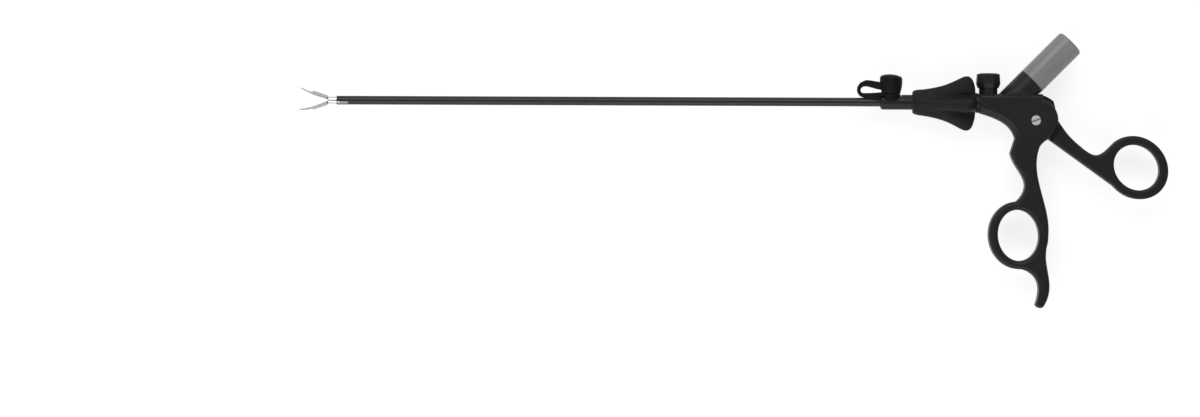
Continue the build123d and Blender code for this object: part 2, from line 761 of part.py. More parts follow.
def lever_slot():
    """The space between the cheeks that the lever swings in."""
    head = slab(Pos(PIVOT.X, PIVOT.Y) * Circle(LEVER_HEAD_R + SLOT_GAP), LEVER_HALF + LEVER_SIDE_GAP)
    head = head & box(SLOT_FRONT_X, PIVOT.X + THROUGH, PIVOT.Y, THROUGH, -THROUGH, THROUGH)
    eye_r = LEVER_EYE_R + SLOT_EYE_GAP
    eye = slab(Pos(PIVOT.X, PIVOT.Y) * Circle(eye_r), LEVER_HALF + LEVER_SIDE_GAP)
    turn = radians(ARM_UNDER_TURN - LEVER_RANGE)
    offset = ARM_UNDER_OFFSET + SLOT_EYE_GAP
    start = (PIVOT.X + offset * sin(turn), PIVOT.Y - offset * cos(turn))
    far = (start[0] + THROUGH * cos(turn), start[1] + THROUGH * sin(turn))
    outside = (PIVOT.X + THROUGH, CONNECTOR_FOOT[1] + CONNECTOR_R)
    rear = make_face(Polyline(start, far, outside, (PIVOT.X, PIVOT.Y + LEVER_HEAD_R - 2), close=True))
    return head + eye + slab(rear, LEVER_HALF + LEVER_SIDE_GAP)


def latch_well():
    """The room that the latch plate moves in."""
    half = LATCH_THICKNESS / 2 + SLIP
    low = LATCH_BOTTOM - BUTTON_TRAVEL - GAP
    wide = LATCH_HALF_WIDTH + SLIP
    well = box(LATCH_X - half, LATCH_X + half, low, GUIDE_BOTTOM + 1, -wide, wide)
    stem_low = LATCH_TOP - BUTTON_TRAVEL - GAP
    return well + along_y(LATCH_X, stem_low, STEM_R + SLIP, GUIDE_BOTTOM + 1 - stem_low)


def connector_place():
    """The connector's own frame: +X out of the handle along the connector's axis."""
    return Pos(CONNECTOR_FOOT[0], CONNECTOR_FOOT[1], 0) * Rot(0, 0, CONNECTOR_TURN)


def longest_curves(edges):
    """The palm's edge on each flat face, which is the longest free curve there."""
    return edges.filter_by(GeomType.BSPLINE).sort_by(SortBy.LENGTH)[-2:]


def upper_body():
    """The housing and cheeks, with a deep round to the palm and smaller ones elsewhere."""
    body = slab(body_outline(), BODY_HALF)
    body = fillet(longest_curves(flat_face_edges(body, BODY_HALF)), PALM_EDGE)
    edges = flat_face_edges(body, BODY_HALF)
    palm = longest_curves(edges)
    return fillet(ShapeList([edge for edge in edges if edge not in palm]), BODY_EDGE)


def grip():
    """The grip with its finger ring and hook."""
    body = slab(grip_outline(), BODY_HALF)
    body += slab(ellipse_face(FINGER_RING, FINGER_RING_OUTER, FINGER_RING_TURN), BODY_HALF)
    body -= slab(ellipse_face(FINGER_RING, FINGER_RING_INNER, FINGER_RING_TURN), THROUGH)
    return fillet(flat_face_edges(body, BODY_HALF), GRIP_EDGE)


def connector_boss():
    """The round boss that the connector stands on, bevelled down to the body's cheeks."""
    boss = connector_place() * along_x(-THROUGH, CONNECTOR_R, THROUGH)
    foot = BODY_TOP - BOSS_FOOT_DROP
    rise = foot + THROUGH - BODY_HALF
    outline = [(foot, BODY_HALF), (rise, THROUGH), (rise, -THROUGH), (foot, -BODY_HALF)]
    bevel = extrude(Plane.YZ * make_face(Polyline(*outline, close=True)), amount=2 * THROUGH)
    return boss & Pos(BODY_START, 0, 0) * bevel


def handle_body():
    """The fixed half of the handle, one moulding with a nose, cheeks, ring and hook."""
    body = upper_body() + grip()
    neck_end = BODY_START + PALM_EDGE
    neck = along_x(NECK_START, NECK_R, neck_end - NECK_START)
    body += neck & box(NECK_START, neck_end, -NECK_R, BODY_TOP, -NECK_R, NECK_R)
    body += along_x(NOSE_START, NOSE_R, BODY_START - NOSE_START)
    body += connector_boss()
    body -= lever_slot()
    body -= along_x(NOSE_START - 1, SPIGOT_R + RUN, SLOT_FRONT_X - NOSE_START + 2)
    body -= along_x(RETAINER_X, NOSE_R + 1, RETAINER_LENGTH, NOSE_R - RETAINER_DEPTH)
    body -= octagon_y(GUIDE_FLATS, LATCH_X, GUIDE_BOTTOM, GUIDE_TOP)
    body -= latch_well()
    body -= along_z(PIVOT.X, PIVOT.Y, PIVOT_SHANK_R + RUN, -THROUGH, THROUGH)
    seat = PIVOT_HEAD_LENGTH - PIVOT_HEAD_PROUD
    body -= along_z(PIVOT.X, PIVOT.Y, PIVOT_HEAD_R + RUN, BODY_HALF - seat, THROUGH)
    nut_seat = PIVOT_NUT_LENGTH - PIVOT_HEAD_PROUD
    return body - along_z(PIVOT.X, PIVOT.Y, PIVOT_HEAD_R + RUN, -THROUGH, -BODY_HALF + nut_seat)


def driver_slot(z):
    """The slot for a screwdriver in a head whose face is at z."""
    depth = DRIVER_SLOT_DEPTH
    low = z - depth if z > 0 else z
    slot = Pos(PIVOT.X, PIVOT.Y, 0) * Rot(0, 0, 20)
    half = DRIVER_SLOT_WIDTH / 2
    return slot * box(-5, 5, -half, half, low, low + depth)


def pivot_screw():
    """The slotted screw that the lever turns on."""
    top = BODY_HALF + PIVOT_HEAD_PROUD
    head = along_z(PIVOT.X, PIVOT.Y, PIVOT_HEAD_R, top - PIVOT_HEAD_LENGTH, top)
    head = chamfer(head.edges().group_by(Axis.Z)[-1], 0.25)
    low = -BODY_HALF - PIVOT_HEAD_PROUD + PIVOT_NUT_FACE
    shank = along_z(PIVOT.X, PIVOT.Y, PIVOT_SHANK_R, low, top - PIVOT_HEAD_LENGTH)
    return head + shank - driver_slot(top)


def pivot_nut():
    """The round nut on the other cheek."""
    low = -BODY_HALF - PIVOT_HEAD_PROUD
    nut = along_z(PIVOT.X, PIVOT.Y, PIVOT_HEAD_R, low, low + PIVOT_NUT_LENGTH)
    nut = chamfer(nut.edges().group_by(Axis.Z)[0], 0.25)
    nut -= along_z(PIVOT.X, PIVOT.Y, PIVOT_SHANK_R, low + PIVOT_NUT_FACE, 0)
    return nut - driver_slot(low)


# Connector


def connector_sleeve():
    """The grey sleeve, open at the far end."""
    body = along_x(0, CONNECTOR_R, CONNECTOR_LENGTH)
    body = chamfer(body.edges().group_by(Axis.X)[-1], CONNECTOR_LIP)
    body -= along_x(CONNECTOR_FLOOR, CONNECTOR_R - CONNECTOR_WALL, CONNECTOR_LENGTH)
    return connector_place() * body


def connector_insulator():
    """The insulating block that holds the two contact pins."""
    body = along_x(CONNECTOR_FLOOR, CONNECTOR_R - CONNECTOR_WALL, INSULATOR_TOP - CONNECTOR_FLOOR)
    for side in (-1, 1):
        depth = INSULATOR_TOP - CONNECTOR_FLOOR - 1
        body -= Pos(0, 0, side * CONTACT_SPACING / 2) * along_x(INSULATOR_TOP - depth, CONTACT_R, depth)
    return connector_place() * body


def contact_pin(side):
    """One contact pin with a round nose."""
    start = CONNECTOR_FLOOR + 1
    pin = along_x(start, CONTACT_R, CONTACT_TIP - start)
    pin = fillet(pin.edges().group_by(Axis.X)[-1], CONTACT_R * 0.6)
    return connector_place() * Pos(0, 0, side * CONTACT_SPACING / 2) * pin


# Thumb lever


def fork_place():
    """The fork's own frame: the pivot at (0, 0) and the ball straight above it."""
    return Pos(PIVOT.X, PIVOT.Y, 0) * Rot(0, 0, LEVER_RANGE / 2)


def fork_outline():
    """The plate of the fork without its ball slot."""
    width = 2 * FORK_HALF_WIDTH
    plate = Rectangle(width, FORK_TOP - FORK_BOTTOM, align=(Align.CENTER, Align.MIN))
    plate = Pos(0, FORK_BOTTOM) * plate
    return fillet(plate.vertices().group_by(Axis.Y)[-1], FORK_CORNER_R)


def ball_fork():
    """The steel fork that moves the rod's ball to and fro."""
    slot = BALL_R + RUN
    body = slab(fork_outline(), FORK_HALF)
    body -= box(-slot, slot, FORK_SLOT_BOTTOM, FORK_TOP + 1, -3, 3)
    body -= box(-FORK_HALF_WIDTH - 1, 0, FORK_SLOT_BOTTOM, FORK_TOP + 1, -FORK_SLIT_HALF, FORK_SLIT_HALF)
    for side in (-1, 1):
        body -= along_z(side * RIVET_OUT, RIVET_UP, RIVET_R, -3, 3)
    return fork_place() * body


def fork_rivet(side):
    """One rivet through the lever and the fork."""
    return fork_place() * along_z(side * RIVET_OUT, RIVET_UP, RIVET_R, -LEVER_HALF, LEVER_HALF)


def lever_bush():
    """The steel bush that the lever turns on."""
    return along_z(PIVOT.X, PIVOT.Y, BUSH_R, -LEVER_HALF, LEVER_HALF) - along_z(
        PIVOT.X, PIVOT.Y, PIVOT_SHANK_R + RUN, -LEVER_HALF, LEVER_HALF
    )


def lever_head_outline():
    """The round head behind the cheeks."""
    start, end = radians(LEVER_HEAD_FROM), radians(LEVER_HEAD_TO)
    middle = (start + end) / 2
    rim = [
        (PIVOT.X + LEVER_HEAD_R * cos(turn), PIVOT.Y + LEVER_HEAD_R * sin(turn))
        for turn in (start, middle, end)
    ]
    heel = (PIVOT.X, PIVOT.Y)
    root = (PIVOT.X + CHEEK_R, PIVOT.Y)
    edges = [Line(heel, root), Line(root, rim[0]), ThreePointArc(*rim), Line(rim[-1], heel)]
    return make_face(edges)


def arm_outline():
    """The lever's arm from the pivot into the thumb ring."""
    turn = radians(ARM_UNDER_TURN)
    start = (PIVOT.X + ARM_UNDER_OFFSET * sin(turn), PIVOT.Y - ARM_UNDER_OFFSET * cos(turn))
    reach = (THUMB_RING[0] - start[0]) * cos(turn) + (THUMB_RING[1] - start[1]) * sin(turn)
    knee = (start[0] + reach * cos(turn), start[1] + reach * sin(turn))
    top = [(100.9, -10.6), (106.2, -18.1), (114.0, -25.4), (122.4, -29.6), (128.6, -26.2)]
    top += [(133.5, -22.0), (139.0, -24.0)]
    inside = (THUMB_RING[0] - 4, THUMB_RING[1] - 9.4)
    edges = [
        Line(start, knee),
        Line(knee, inside),
        Line(inside, top[-1]),
        Spline(*reversed(top)),
        Line(top[0], (PIVOT.X, PIVOT.Y + 1)),
        Line((PIVOT.X, PIVOT.Y + 1), start),
    ]
    return make_face(edges)


def thumb_lever():
    """The moving half of the handle."""
    thick = slab(arm_outline(), LEVER_OUTER_HALF)
    thick += slab(ellipse_face(THUMB_RING, THUMB_RING_OUTER, THUMB_RING_TURN), LEVER_OUTER_HALF)
    inner = ellipse_face(THUMB_RING, THUMB_RING_INNER, THUMB_RING_TURN)
    thick -= slab(inner, THROUGH)
    thick -= along_z(PIVOT.X, PIVOT.Y, LEVER_EYE_R - 2, -THROUGH, THROUGH)
    thick = fillet(flat_face_edges(thick, LEVER_OUTER_HALF), LEVER_EDGE)
    thick -= along_z(PIVOT.X, PIVOT.Y, LEVER_THICK_FROM_R, -THROUGH, THROUGH)
    near = along_z(PIVOT.X, PIVOT.Y, LEVER_THICK_FROM_R + 3, -THROUGH, THROUGH)
    thin = slab(arm_outline(), LEVER_HALF) & near
    thin += slab(lever_head_outline(), LEVER_HALF)
    thin += slab(Pos(PIVOT.X, PIVOT.Y) * Circle(LEVER_EYE_R), LEVER_HALF)
    body = thick + thin
    body -= along_z(PIVOT.X, PIVOT.Y, BUSH_R, -THROUGH, THROUGH)
    body -= fork_place() * slab(fork_outline(), FORK_HALF)
    for side in (-1, 1):
        body -= fork_place() * along_z(side * RIVET_OUT, RIVET_UP, RIVET_R, -THROUGH, THROUGH)
    return body


# Release button


def button_cap():
    """The eight-sided button with a low domed top and a narrowed foot, hollow below."""
    stations = (
        (BUTTON_BOTTOM, BUTTON_FLATS - 2 * BUTTON_FOOT_IN),
        (BUTTON_BOTTOM + BUTTON_FOOT_LENGTH, BUTTON_FLATS),
        (BUTTON_TOP - BUTTON_DOME, BUTTON_TOP_FLATS),
        (BUTTON_TOP, BUTTON_TOP_FLATS - 2 * BUTTON_DOME_WIDTH),
    )
    sections = [Pos(LATCH_X, y, 0) * Rot(-90, 0, 0) * octagon(flats) for y, flats in stations]
    body = loft(sections, ruled=True)
    hollow = octagon_y(GUIDE_FLATS + 2 * BUTTON_GAP, LATCH_X, BUTTON_BOTTOM - 1, BUTTON_ROOF)
    return body - hollow - along_y(LATCH_X, 0, STEM_R, BUTTON_ROOF + STEM_IN_BUTTON)


def button_guide():
    """The fixed neck that the button slides on."""
    body = octagon_y(GUIDE_FLATS, LATCH_X, GUIDE_BOTTOM, GUIDE_TOP)
    body -= along_y(LATCH_X, GUIDE_LEDGE_TOP, GUIDE_SPRING_R, GUIDE_TOP)
    body -= along_y(LATCH_X, 0, STEM_R + RUN, GUIDE_TOP)
    half = LATCH_THICKNESS / 2 + SLIP
    wide = LATCH_HALF_WIDTH + SLIP
    return body - box(LATCH_X - half, LATCH_X + half, 0, GUIDE_LEDGE_BOTTOM, -wide, wide)


def button_stem():
    """The stem between the button and the latch plate."""
    return along_y(LATCH_X, LATCH_TOP, STEM_R, BUTTON_ROOF + STEM_IN_BUTTON - LATCH_TOP)


def button_spring():
    """The spring under the button, drawn with its turns touching."""
    low = GUIDE_LEDGE_TOP + SPRING_WIRE_R
    count = int((BUTTON_ROOF - GUIDE_LEDGE_TOP - 2 * SPRING_WIRE_R) / SPRING_TURN_STEP) + 1
    turns = [
        Pos(LATCH_X, low + SPRING_TURN_STEP * index, 0) * Rot(90, 0, 0) * Torus(SPRING_R, SPRING_WIRE_R)
        for index in range(count)
    ]
    whole = turns[0]
    for turn in turns[1:]:
        whole += turn
    return whole


def latch_plate():
    """The plate with a keyhole that holds the spigot by its groove."""
    half = LATCH_THICKNESS / 2
    body = box(LATCH_X - half, LATCH_X + half, LATCH_BOTTOM, LATCH_TOP, -LATCH_HALF_WIDTH, LATCH_HALF_WIDTH)
    body = fillet(body.edges().filter_by(Axis.X), 1.0)
    body -= along_x(LATCH_X - 2, LATCH_GROOVE_R + RUN, 4)
    return body - Pos(0, BUTTON_TRAVEL, 0) * along_x(LATCH_X - 2, SPIGOT_R + SLIP, 4)


PIECES = {
    "handle_body": handle_body,
    "knob_retainer": knob_retainer,
    "pivot_screw": pivot_screw,
    "pivot_nut": pivot_nut,
    "button_guide": button_guide,
    "connector_sleeve": connector_sleeve,
    "connector_insulator": connector_insulator,
    "contact_pin_left": lambda: contact_pin(1),
    "contact_pin_right": lambda: contact_pin(-1),
    "thumb_lever": thumb_lever,
    "lever_bush": lever_bush,
    "ball_fork": ball_fork,
    "fork_rivet_front": lambda: fork_rivet(-1),
    "fork_rivet_rear": lambda: fork_rivet(1),
    "button_cap": button_cap,
    "button_stem": button_stem,
    "button_spring": button_spring,
    "latch_plate": latch_plate,
    "rotation_knob": rotation_knob,
    "knob_bezel": knob_bezel,
    "shaft_hub": shaft_hub,
    "tube_insulation": tube_insulation,
    "outer_tube": outer_tube,
    "rod_guide_front": lambda: rod_guide(-SHAFT_LENGTH + GUIDE_FRONT_IN),
    "rod_guide_rear": lambda: rod_guide(-GUIDE_REAR_IN),
    "drive_collar": drive_collar,
    "spigot": spigot,
    "flush_port": flush_port,
    "port_strap": port_strap,
    "port_cap": port_cap,
    "jaw_clevis": jaw_clevis,
    "jaw_pivot_pin": jaw_pivot_pin,
    "pull_rod": pull_rod,
    "rod_insulation": rod_insulation,
    "rod_ball": rod_ball,
    "drive_tongue": drive_tongue,
    "drive_pin": drive_pin,
    "upper_jaw": lambda: jaw(1),
    "lower_jaw": lambda: jaw(-1),
}

os.makedirs("parts", exist_ok=True)
for name, make in PIECES.items():
    export_step(make(), f"parts/{name}.step")
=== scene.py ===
from math import cos, pi, radians, sin

import bpy
from bpy.props import FloatProperty, FloatVectorProperty, IntProperty, PointerProperty
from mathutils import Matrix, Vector


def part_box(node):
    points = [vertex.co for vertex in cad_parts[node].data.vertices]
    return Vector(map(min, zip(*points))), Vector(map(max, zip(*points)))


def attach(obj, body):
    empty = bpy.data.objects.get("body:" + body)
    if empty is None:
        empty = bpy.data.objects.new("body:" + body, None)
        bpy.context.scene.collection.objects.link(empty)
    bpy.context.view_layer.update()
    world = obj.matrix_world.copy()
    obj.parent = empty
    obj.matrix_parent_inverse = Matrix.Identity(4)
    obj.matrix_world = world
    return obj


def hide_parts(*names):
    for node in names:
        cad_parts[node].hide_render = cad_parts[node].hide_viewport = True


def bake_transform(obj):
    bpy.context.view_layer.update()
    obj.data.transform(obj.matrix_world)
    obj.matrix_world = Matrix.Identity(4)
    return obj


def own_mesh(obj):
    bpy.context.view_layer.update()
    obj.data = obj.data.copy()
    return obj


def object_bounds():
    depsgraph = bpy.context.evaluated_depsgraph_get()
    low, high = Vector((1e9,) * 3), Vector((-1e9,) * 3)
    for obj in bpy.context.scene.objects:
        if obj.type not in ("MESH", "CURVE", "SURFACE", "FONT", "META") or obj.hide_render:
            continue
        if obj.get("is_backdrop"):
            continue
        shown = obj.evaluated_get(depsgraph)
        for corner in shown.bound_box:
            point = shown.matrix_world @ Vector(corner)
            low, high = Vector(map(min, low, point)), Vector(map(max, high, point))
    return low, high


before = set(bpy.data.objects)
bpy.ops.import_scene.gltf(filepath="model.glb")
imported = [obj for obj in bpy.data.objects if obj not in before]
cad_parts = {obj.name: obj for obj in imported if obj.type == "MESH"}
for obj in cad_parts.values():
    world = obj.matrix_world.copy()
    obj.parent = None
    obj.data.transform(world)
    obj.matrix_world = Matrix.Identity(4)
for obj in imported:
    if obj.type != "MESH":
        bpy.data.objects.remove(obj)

bl_info = {
    "name": "Bipolar forceps",
    "version": (1, 0, 0),
    "blender": (4, 5, 0),
    "location": "View3D > Sidebar > Forceps",
    "description": "Soft parts, spring, finishes and studio for a take-apart bipolar forceps",
    "category": "Add Mesh",
}

MM = 0.001

# The range in which most values of a noise lie
NOISE_LOW, NOISE_HIGH = 0.3, 0.7
# Cosines between the true and the rounded normal where an edge begins and where it is full
EDGE_BEGINS, EDGE_FULL = 0.97, 0.80
SHADER_SAMPLES = 6
# Painted shade: the colour that narrow gaps and recesses are darkened towards
GAP_SHADE_COLOUR = (0.02, 0.02, 0.02, 1.0)
# Places along the shaft where the polish of the jaws begins and where it is full
POLISH_BEGINS_X, POLISH_FULL_X = -321.3 * MM, -324.3 * MM

# Stretches of a noise that draw fine lines along an axis or round it
ALONG_X = (40.0, 1.0, 1.0)
ROUND_X = (0.03, 1.0, 1.0)
ROUND_Y = (1.0, 0.03, 1.0)
ROUND_Z = (1.0, 1.0, 0.03)
GROUND_Y = (1.0, 22.0, 1.0)
EVEN = (1.0, 1.0, 1.0)

# What the strap keeps clear of, with its play: the hub, the shaft and the flat foot of the port
HUB_CLEAR_RADIUS, SHAFT_CLEAR_RADIUS = 4.27 * MM, 2.53 * MM
HUB_CLEAR_FROM_X, SHAFT_CLEAR_TO_X = -0.1 * MM, 1.0 * MM
CLEAR_LENGTH = 25 * MM
FOOT_CLEAR = (12.4 * MM, 3.3 * MM, 8.6 * MM)
RING_TOP = 4.5 * MM
# Rotations that lay the axis of a cylinder, or the normal of a plane, along X or Y
AXIS_X, AXIS_Y = (0, pi / 2, 0), (pi / 2, 0, 0)

# The stage, in metres in the part's frame
FLOOR_SIZE, FLOOR_X = 8, -0.1
WHITE = (1, 1, 1, 1)
FLOOR_GLOW, FLOOR_GLOW_SEEN = 0.25, 0.8
# Sideways lean of a mirrored direction where the overhead tone ends and where the surround is full
OVERHEAD_ENDS_Y, SURROUND_BEGINS_Y = 0.2, 0.85
KEY_LAMP = {"place": (-0.25, 0.95, 1.25), "target": (-0.1, -0.03, 0), "width": 1.6, "depth": 0.8}
LOW_LAMP = {"place": (-0.45, -1.0, 0.95), "target": (0.0, -0.04, 0), "width": 1.6, "depth": 0.7}
CAMERA_X, CAMERA_Y = -0.1588, -0.0609
SENSOR_WIDTH = 36.0
CAMERA_REACH = 20


def middle(node):
    """The centre of a carried-over part's box."""
    low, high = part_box(node)
    return (Vector(low) + Vector(high)) / 2


# Sizes and colours that a user may change


class CapSettings(bpy.types.PropertyGroup):
    """The soft cap over the flush port."""

    radius: FloatProperty(
        name="Radius", description="Outer radius of the cap", default=6.4 * MM, unit="LENGTH"
    )
    foot_radius: FloatProperty(
        name="Foot radius", description="Outer radius at its foot", default=5.3 * MM, unit="LENGTH"
    )
    cavity_radius: FloatProperty(
        name="Cavity radius", description="Radius of the hollow that takes the port",
        default=3.6 * MM, unit="LENGTH",
    )
    cavity_depth: FloatProperty(
        name="Cavity depth", description="Depth of the hollow over its chamfer",
        default=8.4 * MM, unit="LENGTH",
    )
    chamfer: FloatProperty(
        name="Chamfer", description="Chamfer at the mouth of the hollow", default=0.3 * MM, unit="LENGTH"
    )
    lip: FloatProperty(
        name="Lip", description="Rounding of the foot's outer corner", default=0.5 * MM, unit="LENGTH"
    )
    edge: FloatProperty(
        name="Edge", description="Rounding of the top edge", default=1.9 * MM, unit="LENGTH"
    )
    dome: FloatProperty(
        name="Dome", description="Height of the crown over the edge", default=0.7 * MM, unit="LENGTH"
    )
    tilt: FloatProperty(
        name="Tilt", description="Slope of the crown towards the knob", default=radians(4), unit="ROTATION"
    )
    sides: IntProperty(name="Sides", description="Faces round the cap", default=64, min=16)


class StrapSettings(bpy.types.PropertyGroup):
    """The soft strap that holds the cap on the instrument."""

    width: FloatProperty(
        name="Width", description="Width of the strap", default=6.2 * MM, unit="LENGTH"
    )
    thickness: FloatProperty(
        name="Thickness", description="Thickness of the strap over the loop",
        default=3.7 * MM, unit="LENGTH",
    )
    bend_thickness: FloatProperty(
        name="Bend thickness", description="Thickness at the end of the loop",
        default=2.1 * MM, unit="LENGTH",
    )
    ring_radius: FloatProperty(
        name="Ring radius", description="Outer radius of the ring on the hub",
        default=5.85 * MM, unit="LENGTH",
    )
    neck_radius: FloatProperty(
        name="Neck radius", description="Radius of the port's neck that the ring grips",
        default=3.4 * MM, unit="LENGTH",
    )


class SpringSettings(bpy.types.PropertyGroup):
    """The coil spring under the release button."""

    wire_radius: FloatProperty(
        name="Wire radius", description="Radius of the wire", default=0.35 * MM, unit="LENGTH"
    )
    coil_radius: FloatProperty(
        name="Coil radius", description="Radius of the coil's centre line",
        default=2.5 * MM, unit="LENGTH",
    )
    turns: IntProperty(name="Turns", description="Turns of the coil", default=6, min=2)
    sides: IntProperty(name="Sides", description="Faces round the wire", default=12, min=6)
    steps: IntProperty(name="Steps", description="Faces along one turn", default=28, min=8)


class FinishSettings(bpy.types.PropertyGroup):
    """The colours of the parts."""

    black: FloatVectorProperty(
        name="Black plastic", description="Handle, lever, knob and hub", subtype="COLOR",
        default=(0.0105, 0.0105, 0.0109), min=0.0, max=1.0,
    )
    # Edge colour of the black plastic: partly wear, partly painted highlight where edges catch light
    black_edge_wear_and_highlight: FloatVectorProperty(
        name="Worn edge", description="Black plastic where it is rubbed", subtype="COLOR",
        default=(0.036, 0.036, 0.038), min=0.0, max=1.0,
    )
    sleeve: FloatVectorProperty(
        name="Connector grey", description="The connector's sleeve", subtype="COLOR",
        default=(0.235, 0.237, 0.240), min=0.0, max=1.0,
    )
    rubber: FloatVectorProperty(
        name="Soft black", description="Cap and strap", subtype="COLOR",
        default=(0.0035, 0.0035, 0.0037), min=0.0, max=1.0,
    )
    steel: FloatVectorProperty(
        name="Steel", description="Jaws, pins and spigot", subtype="COLOR",
        default=(0.62, 0.62, 0.63), min=0.0, max=1.0,
    )
    rim: FloatVectorProperty(
        name="Rim", description="The pale rim of the knob", subtype="COLOR",
        default=(0.16, 0.16, 0.165), min=0.0, max=1.0,
    )


class StageSettings(bpy.types.PropertyGroup):
    """Floor, lamps and camera."""

    camera_height: FloatProperty(
        name="Camera height", description="Height of the camera over the shaft",
        default=2.4, unit="LENGTH",
    )
    picture_width: FloatProperty(
        name="Picture width", description="Width that the picture shows at the shaft",
        default=0.6804, unit="LENGTH",
    )
    roll: FloatProperty(
        name="Roll", description="Turn of the camera about its own axis",
        default=radians(0.215), unit="ROTATION",
    )
    fill: FloatProperty(
        name="Fill", description="Strength of the light from all round", default=0.34
    )
    overhead: FloatProperty(
        name="Overhead", description="What flat shiny faces mirror from straight above", default=0.3
    )
    rim: FloatProperty(
        name="Surround", description="What sloping shiny faces mirror from the sides", default=0.85
    )
    key_power: FloatProperty(
        name="Key", description="Power of the lamp on the connector's side", default=11.0
    )
    low_power: FloatProperty(
        name="Low", description="Power of the lamp on the finger rings' side", default=9.0
    )


# Nodes of a material


class Finish:
    """A material under construction, with short names for the nodes that finishes share."""

    def __init__(self, name):
        self.material = bpy.data.materials.new(name)
        self.material.use_nodes = True
        self.tree = self.material.node_tree
        self.shader = self.tree.nodes["Principled BSDF"]
        self.coordinates = self.tree.nodes.new("ShaderNodeTexCoord").outputs["Object"]

    def add(self, kind, **values):
        """A node with its plain settings."""
        node = self.tree.nodes.new(kind)
        for key, value in values.items():
            setattr(node, key, value)
        return node

    def join(self, source, target):
        """A link from an output to an input."""
        self.tree.links.new(source, target)

    def feed(self, target, value):
        """A link, or a plain value set on the socket."""
        if isinstance(value, bpy.types.NodeSocket):
            self.join(value, target)
        else:
            target.default_value = value

    def mapped(self, scale, turn=(0, 0, 0)):
        """Object coordinates turned and stretched."""
        node = self.add("ShaderNodeMapping", vector_type="TEXTURE")
        node.inputs["Rotation"].default_value = turn
        node.inputs["Scale"].default_value = scale
        self.join(self.coordinates, node.inputs["Vector"])
        return node.outputs["Vector"]

    def noise(self, scale, detail=3.0, rough=0.55, vector=None):
        """A noise value; scale is in features per metre of the vector."""
        node = self.add("ShaderNodeTexNoise")
        node.inputs["Scale"].default_value = scale
        node.inputs["Detail"].default_value = detail
        node.inputs["Roughness"].default_value = rough
        self.join(vector or self.coordinates, node.inputs["Vector"])
        return node.outputs["Fac"]

    def ramp(self, value, low, high, start, end):
        """A value mapped from low..high to start..end."""
        node = self.add("ShaderNodeMapRange")
        node.inputs["From Min"].default_value = low
        node.inputs["From Max"].default_value = high
        node.inputs["To Min"].default_value = start
        node.inputs["To Max"].default_value = end
        self.join(value, node.inputs["Value"])
        return node.outputs["Result"]

    def spread(self, noise, start=0.0, end=1.0):
        """A noise mapped from the range where most of it lies to start..end."""
        return self.ramp(noise, NOISE_LOW, NOISE_HIGH, start, end)

    def maths(self, operation, first, second=0.0):
        """A sum, product or other pair operation."""
        node = self.add("ShaderNodeMath", operation=operation)
        self.feed(node.inputs[0], first)
        self.feed(node.inputs[1], second)
        return node.outputs["Value"]

    def blend_colour(self, share, first, second):
        """Two colours mixed by a share."""
        node = self.add("ShaderNodeMix", data_type="RGBA")
        self.feed(node.inputs["Factor"], share)
        self.feed(node.inputs["A"], first)
        self.feed(node.inputs["B"], second)
        return node.outputs["Result"]

    def shades(self, noise, colour, darkest, lightest):
        """A colour varied by a noise between two factors of brightness."""
        return self.blend_colour(self.spread(noise), scaled(colour, darkest), scaled(colour, lightest))

    def patches(self, base, noise, low, high, share, colour):
        """A share of another colour on the base where a noise rises from low to high."""
        return self.blend_colour(self.ramp(noise, low, high, 0.0, share), base, colour)

    def worn_and_lit(self, base, edge, share, colour):
        """A share of another colour on the base's edges: partly wear, partly a painted highlight where
        edges catch light.
        """
        return self.blend_colour(self.maths("MULTIPLY", edge, share), base, colour)

    def soft_edge(self, radius):
        """The normal rounded over sharp edges, and a mask that is 1 on them."""
        bevel = self.add("ShaderNodeBevel", samples=SHADER_SAMPLES)
        bevel.inputs["Radius"].default_value = radius
        geometry = self.add("ShaderNodeNewGeometry")
        dot = self.add("ShaderNodeVectorMath", operation="DOT_PRODUCT")
        self.join(bevel.outputs["Normal"], dot.inputs[0])
        self.join(geometry.outputs["Normal"], dot.inputs[1])
        mask = self.ramp(dot.outputs["Value"], EDGE_BEGINS, EDGE_FULL, 0.0, 1.0)
        return bevel.outputs["Normal"], mask

    def painted_gap_shade(self, colour, distance):
        """A colour darkened in narrow gaps by ambient occlusion: painted shade."""
        node = self.add("ShaderNodeAmbientOcclusion", samples=SHADER_SAMPLES)
        node.inputs["Distance"].default_value = distance
        shade_share = self.ramp(node.outputs["AO"], 0.35, 0.85, 1.0, 0.0)
        return self.blend_colour(shade_share, colour, GAP_SHADE_COLOUR)

    def bump(self, height, distance, strength, normal=None):
        """A bump from a height, laid over another normal."""
        node = self.add("ShaderNodeBump")
        node.inputs["Distance"].default_value = distance
        node.inputs["Strength"].default_value = strength
        self.join(height, node.inputs["Height"])
        if normal is not None:
            self.join(normal, node.inputs["Normal"])
        return node.outputs["Normal"]

    def axis_value(self, axis):
        """One coordinate of the place on the part."""
        node = self.add("ShaderNodeSeparateXYZ")
        self.join(self.coordinates, node.inputs["Vector"])
        return node.outputs[axis]

    def finish(self, colour, rough, normal, metallic=0.0, specular=0.5):
        """The shader's sockets."""
        self.feed(self.shader.inputs["Base Color"], colour)
        self.feed(self.shader.inputs["Roughness"], rough)
        self.join(normal, self.shader.inputs["Normal"])
        self.shader.inputs["Metallic"].default_value = metallic
        self.shader.inputs["Specular IOR Level"].default_value = specular
        return self.material


def opaque(colour):
    """A colour with its fourth value."""
    return (colour[0], colour[1], colour[2], 1.0)


def scaled(colour, factor):
    """A lighter or darker version of a colour."""
    return tuple(min(1.0, part * factor) for part in colour[:3]) + (1.0,)


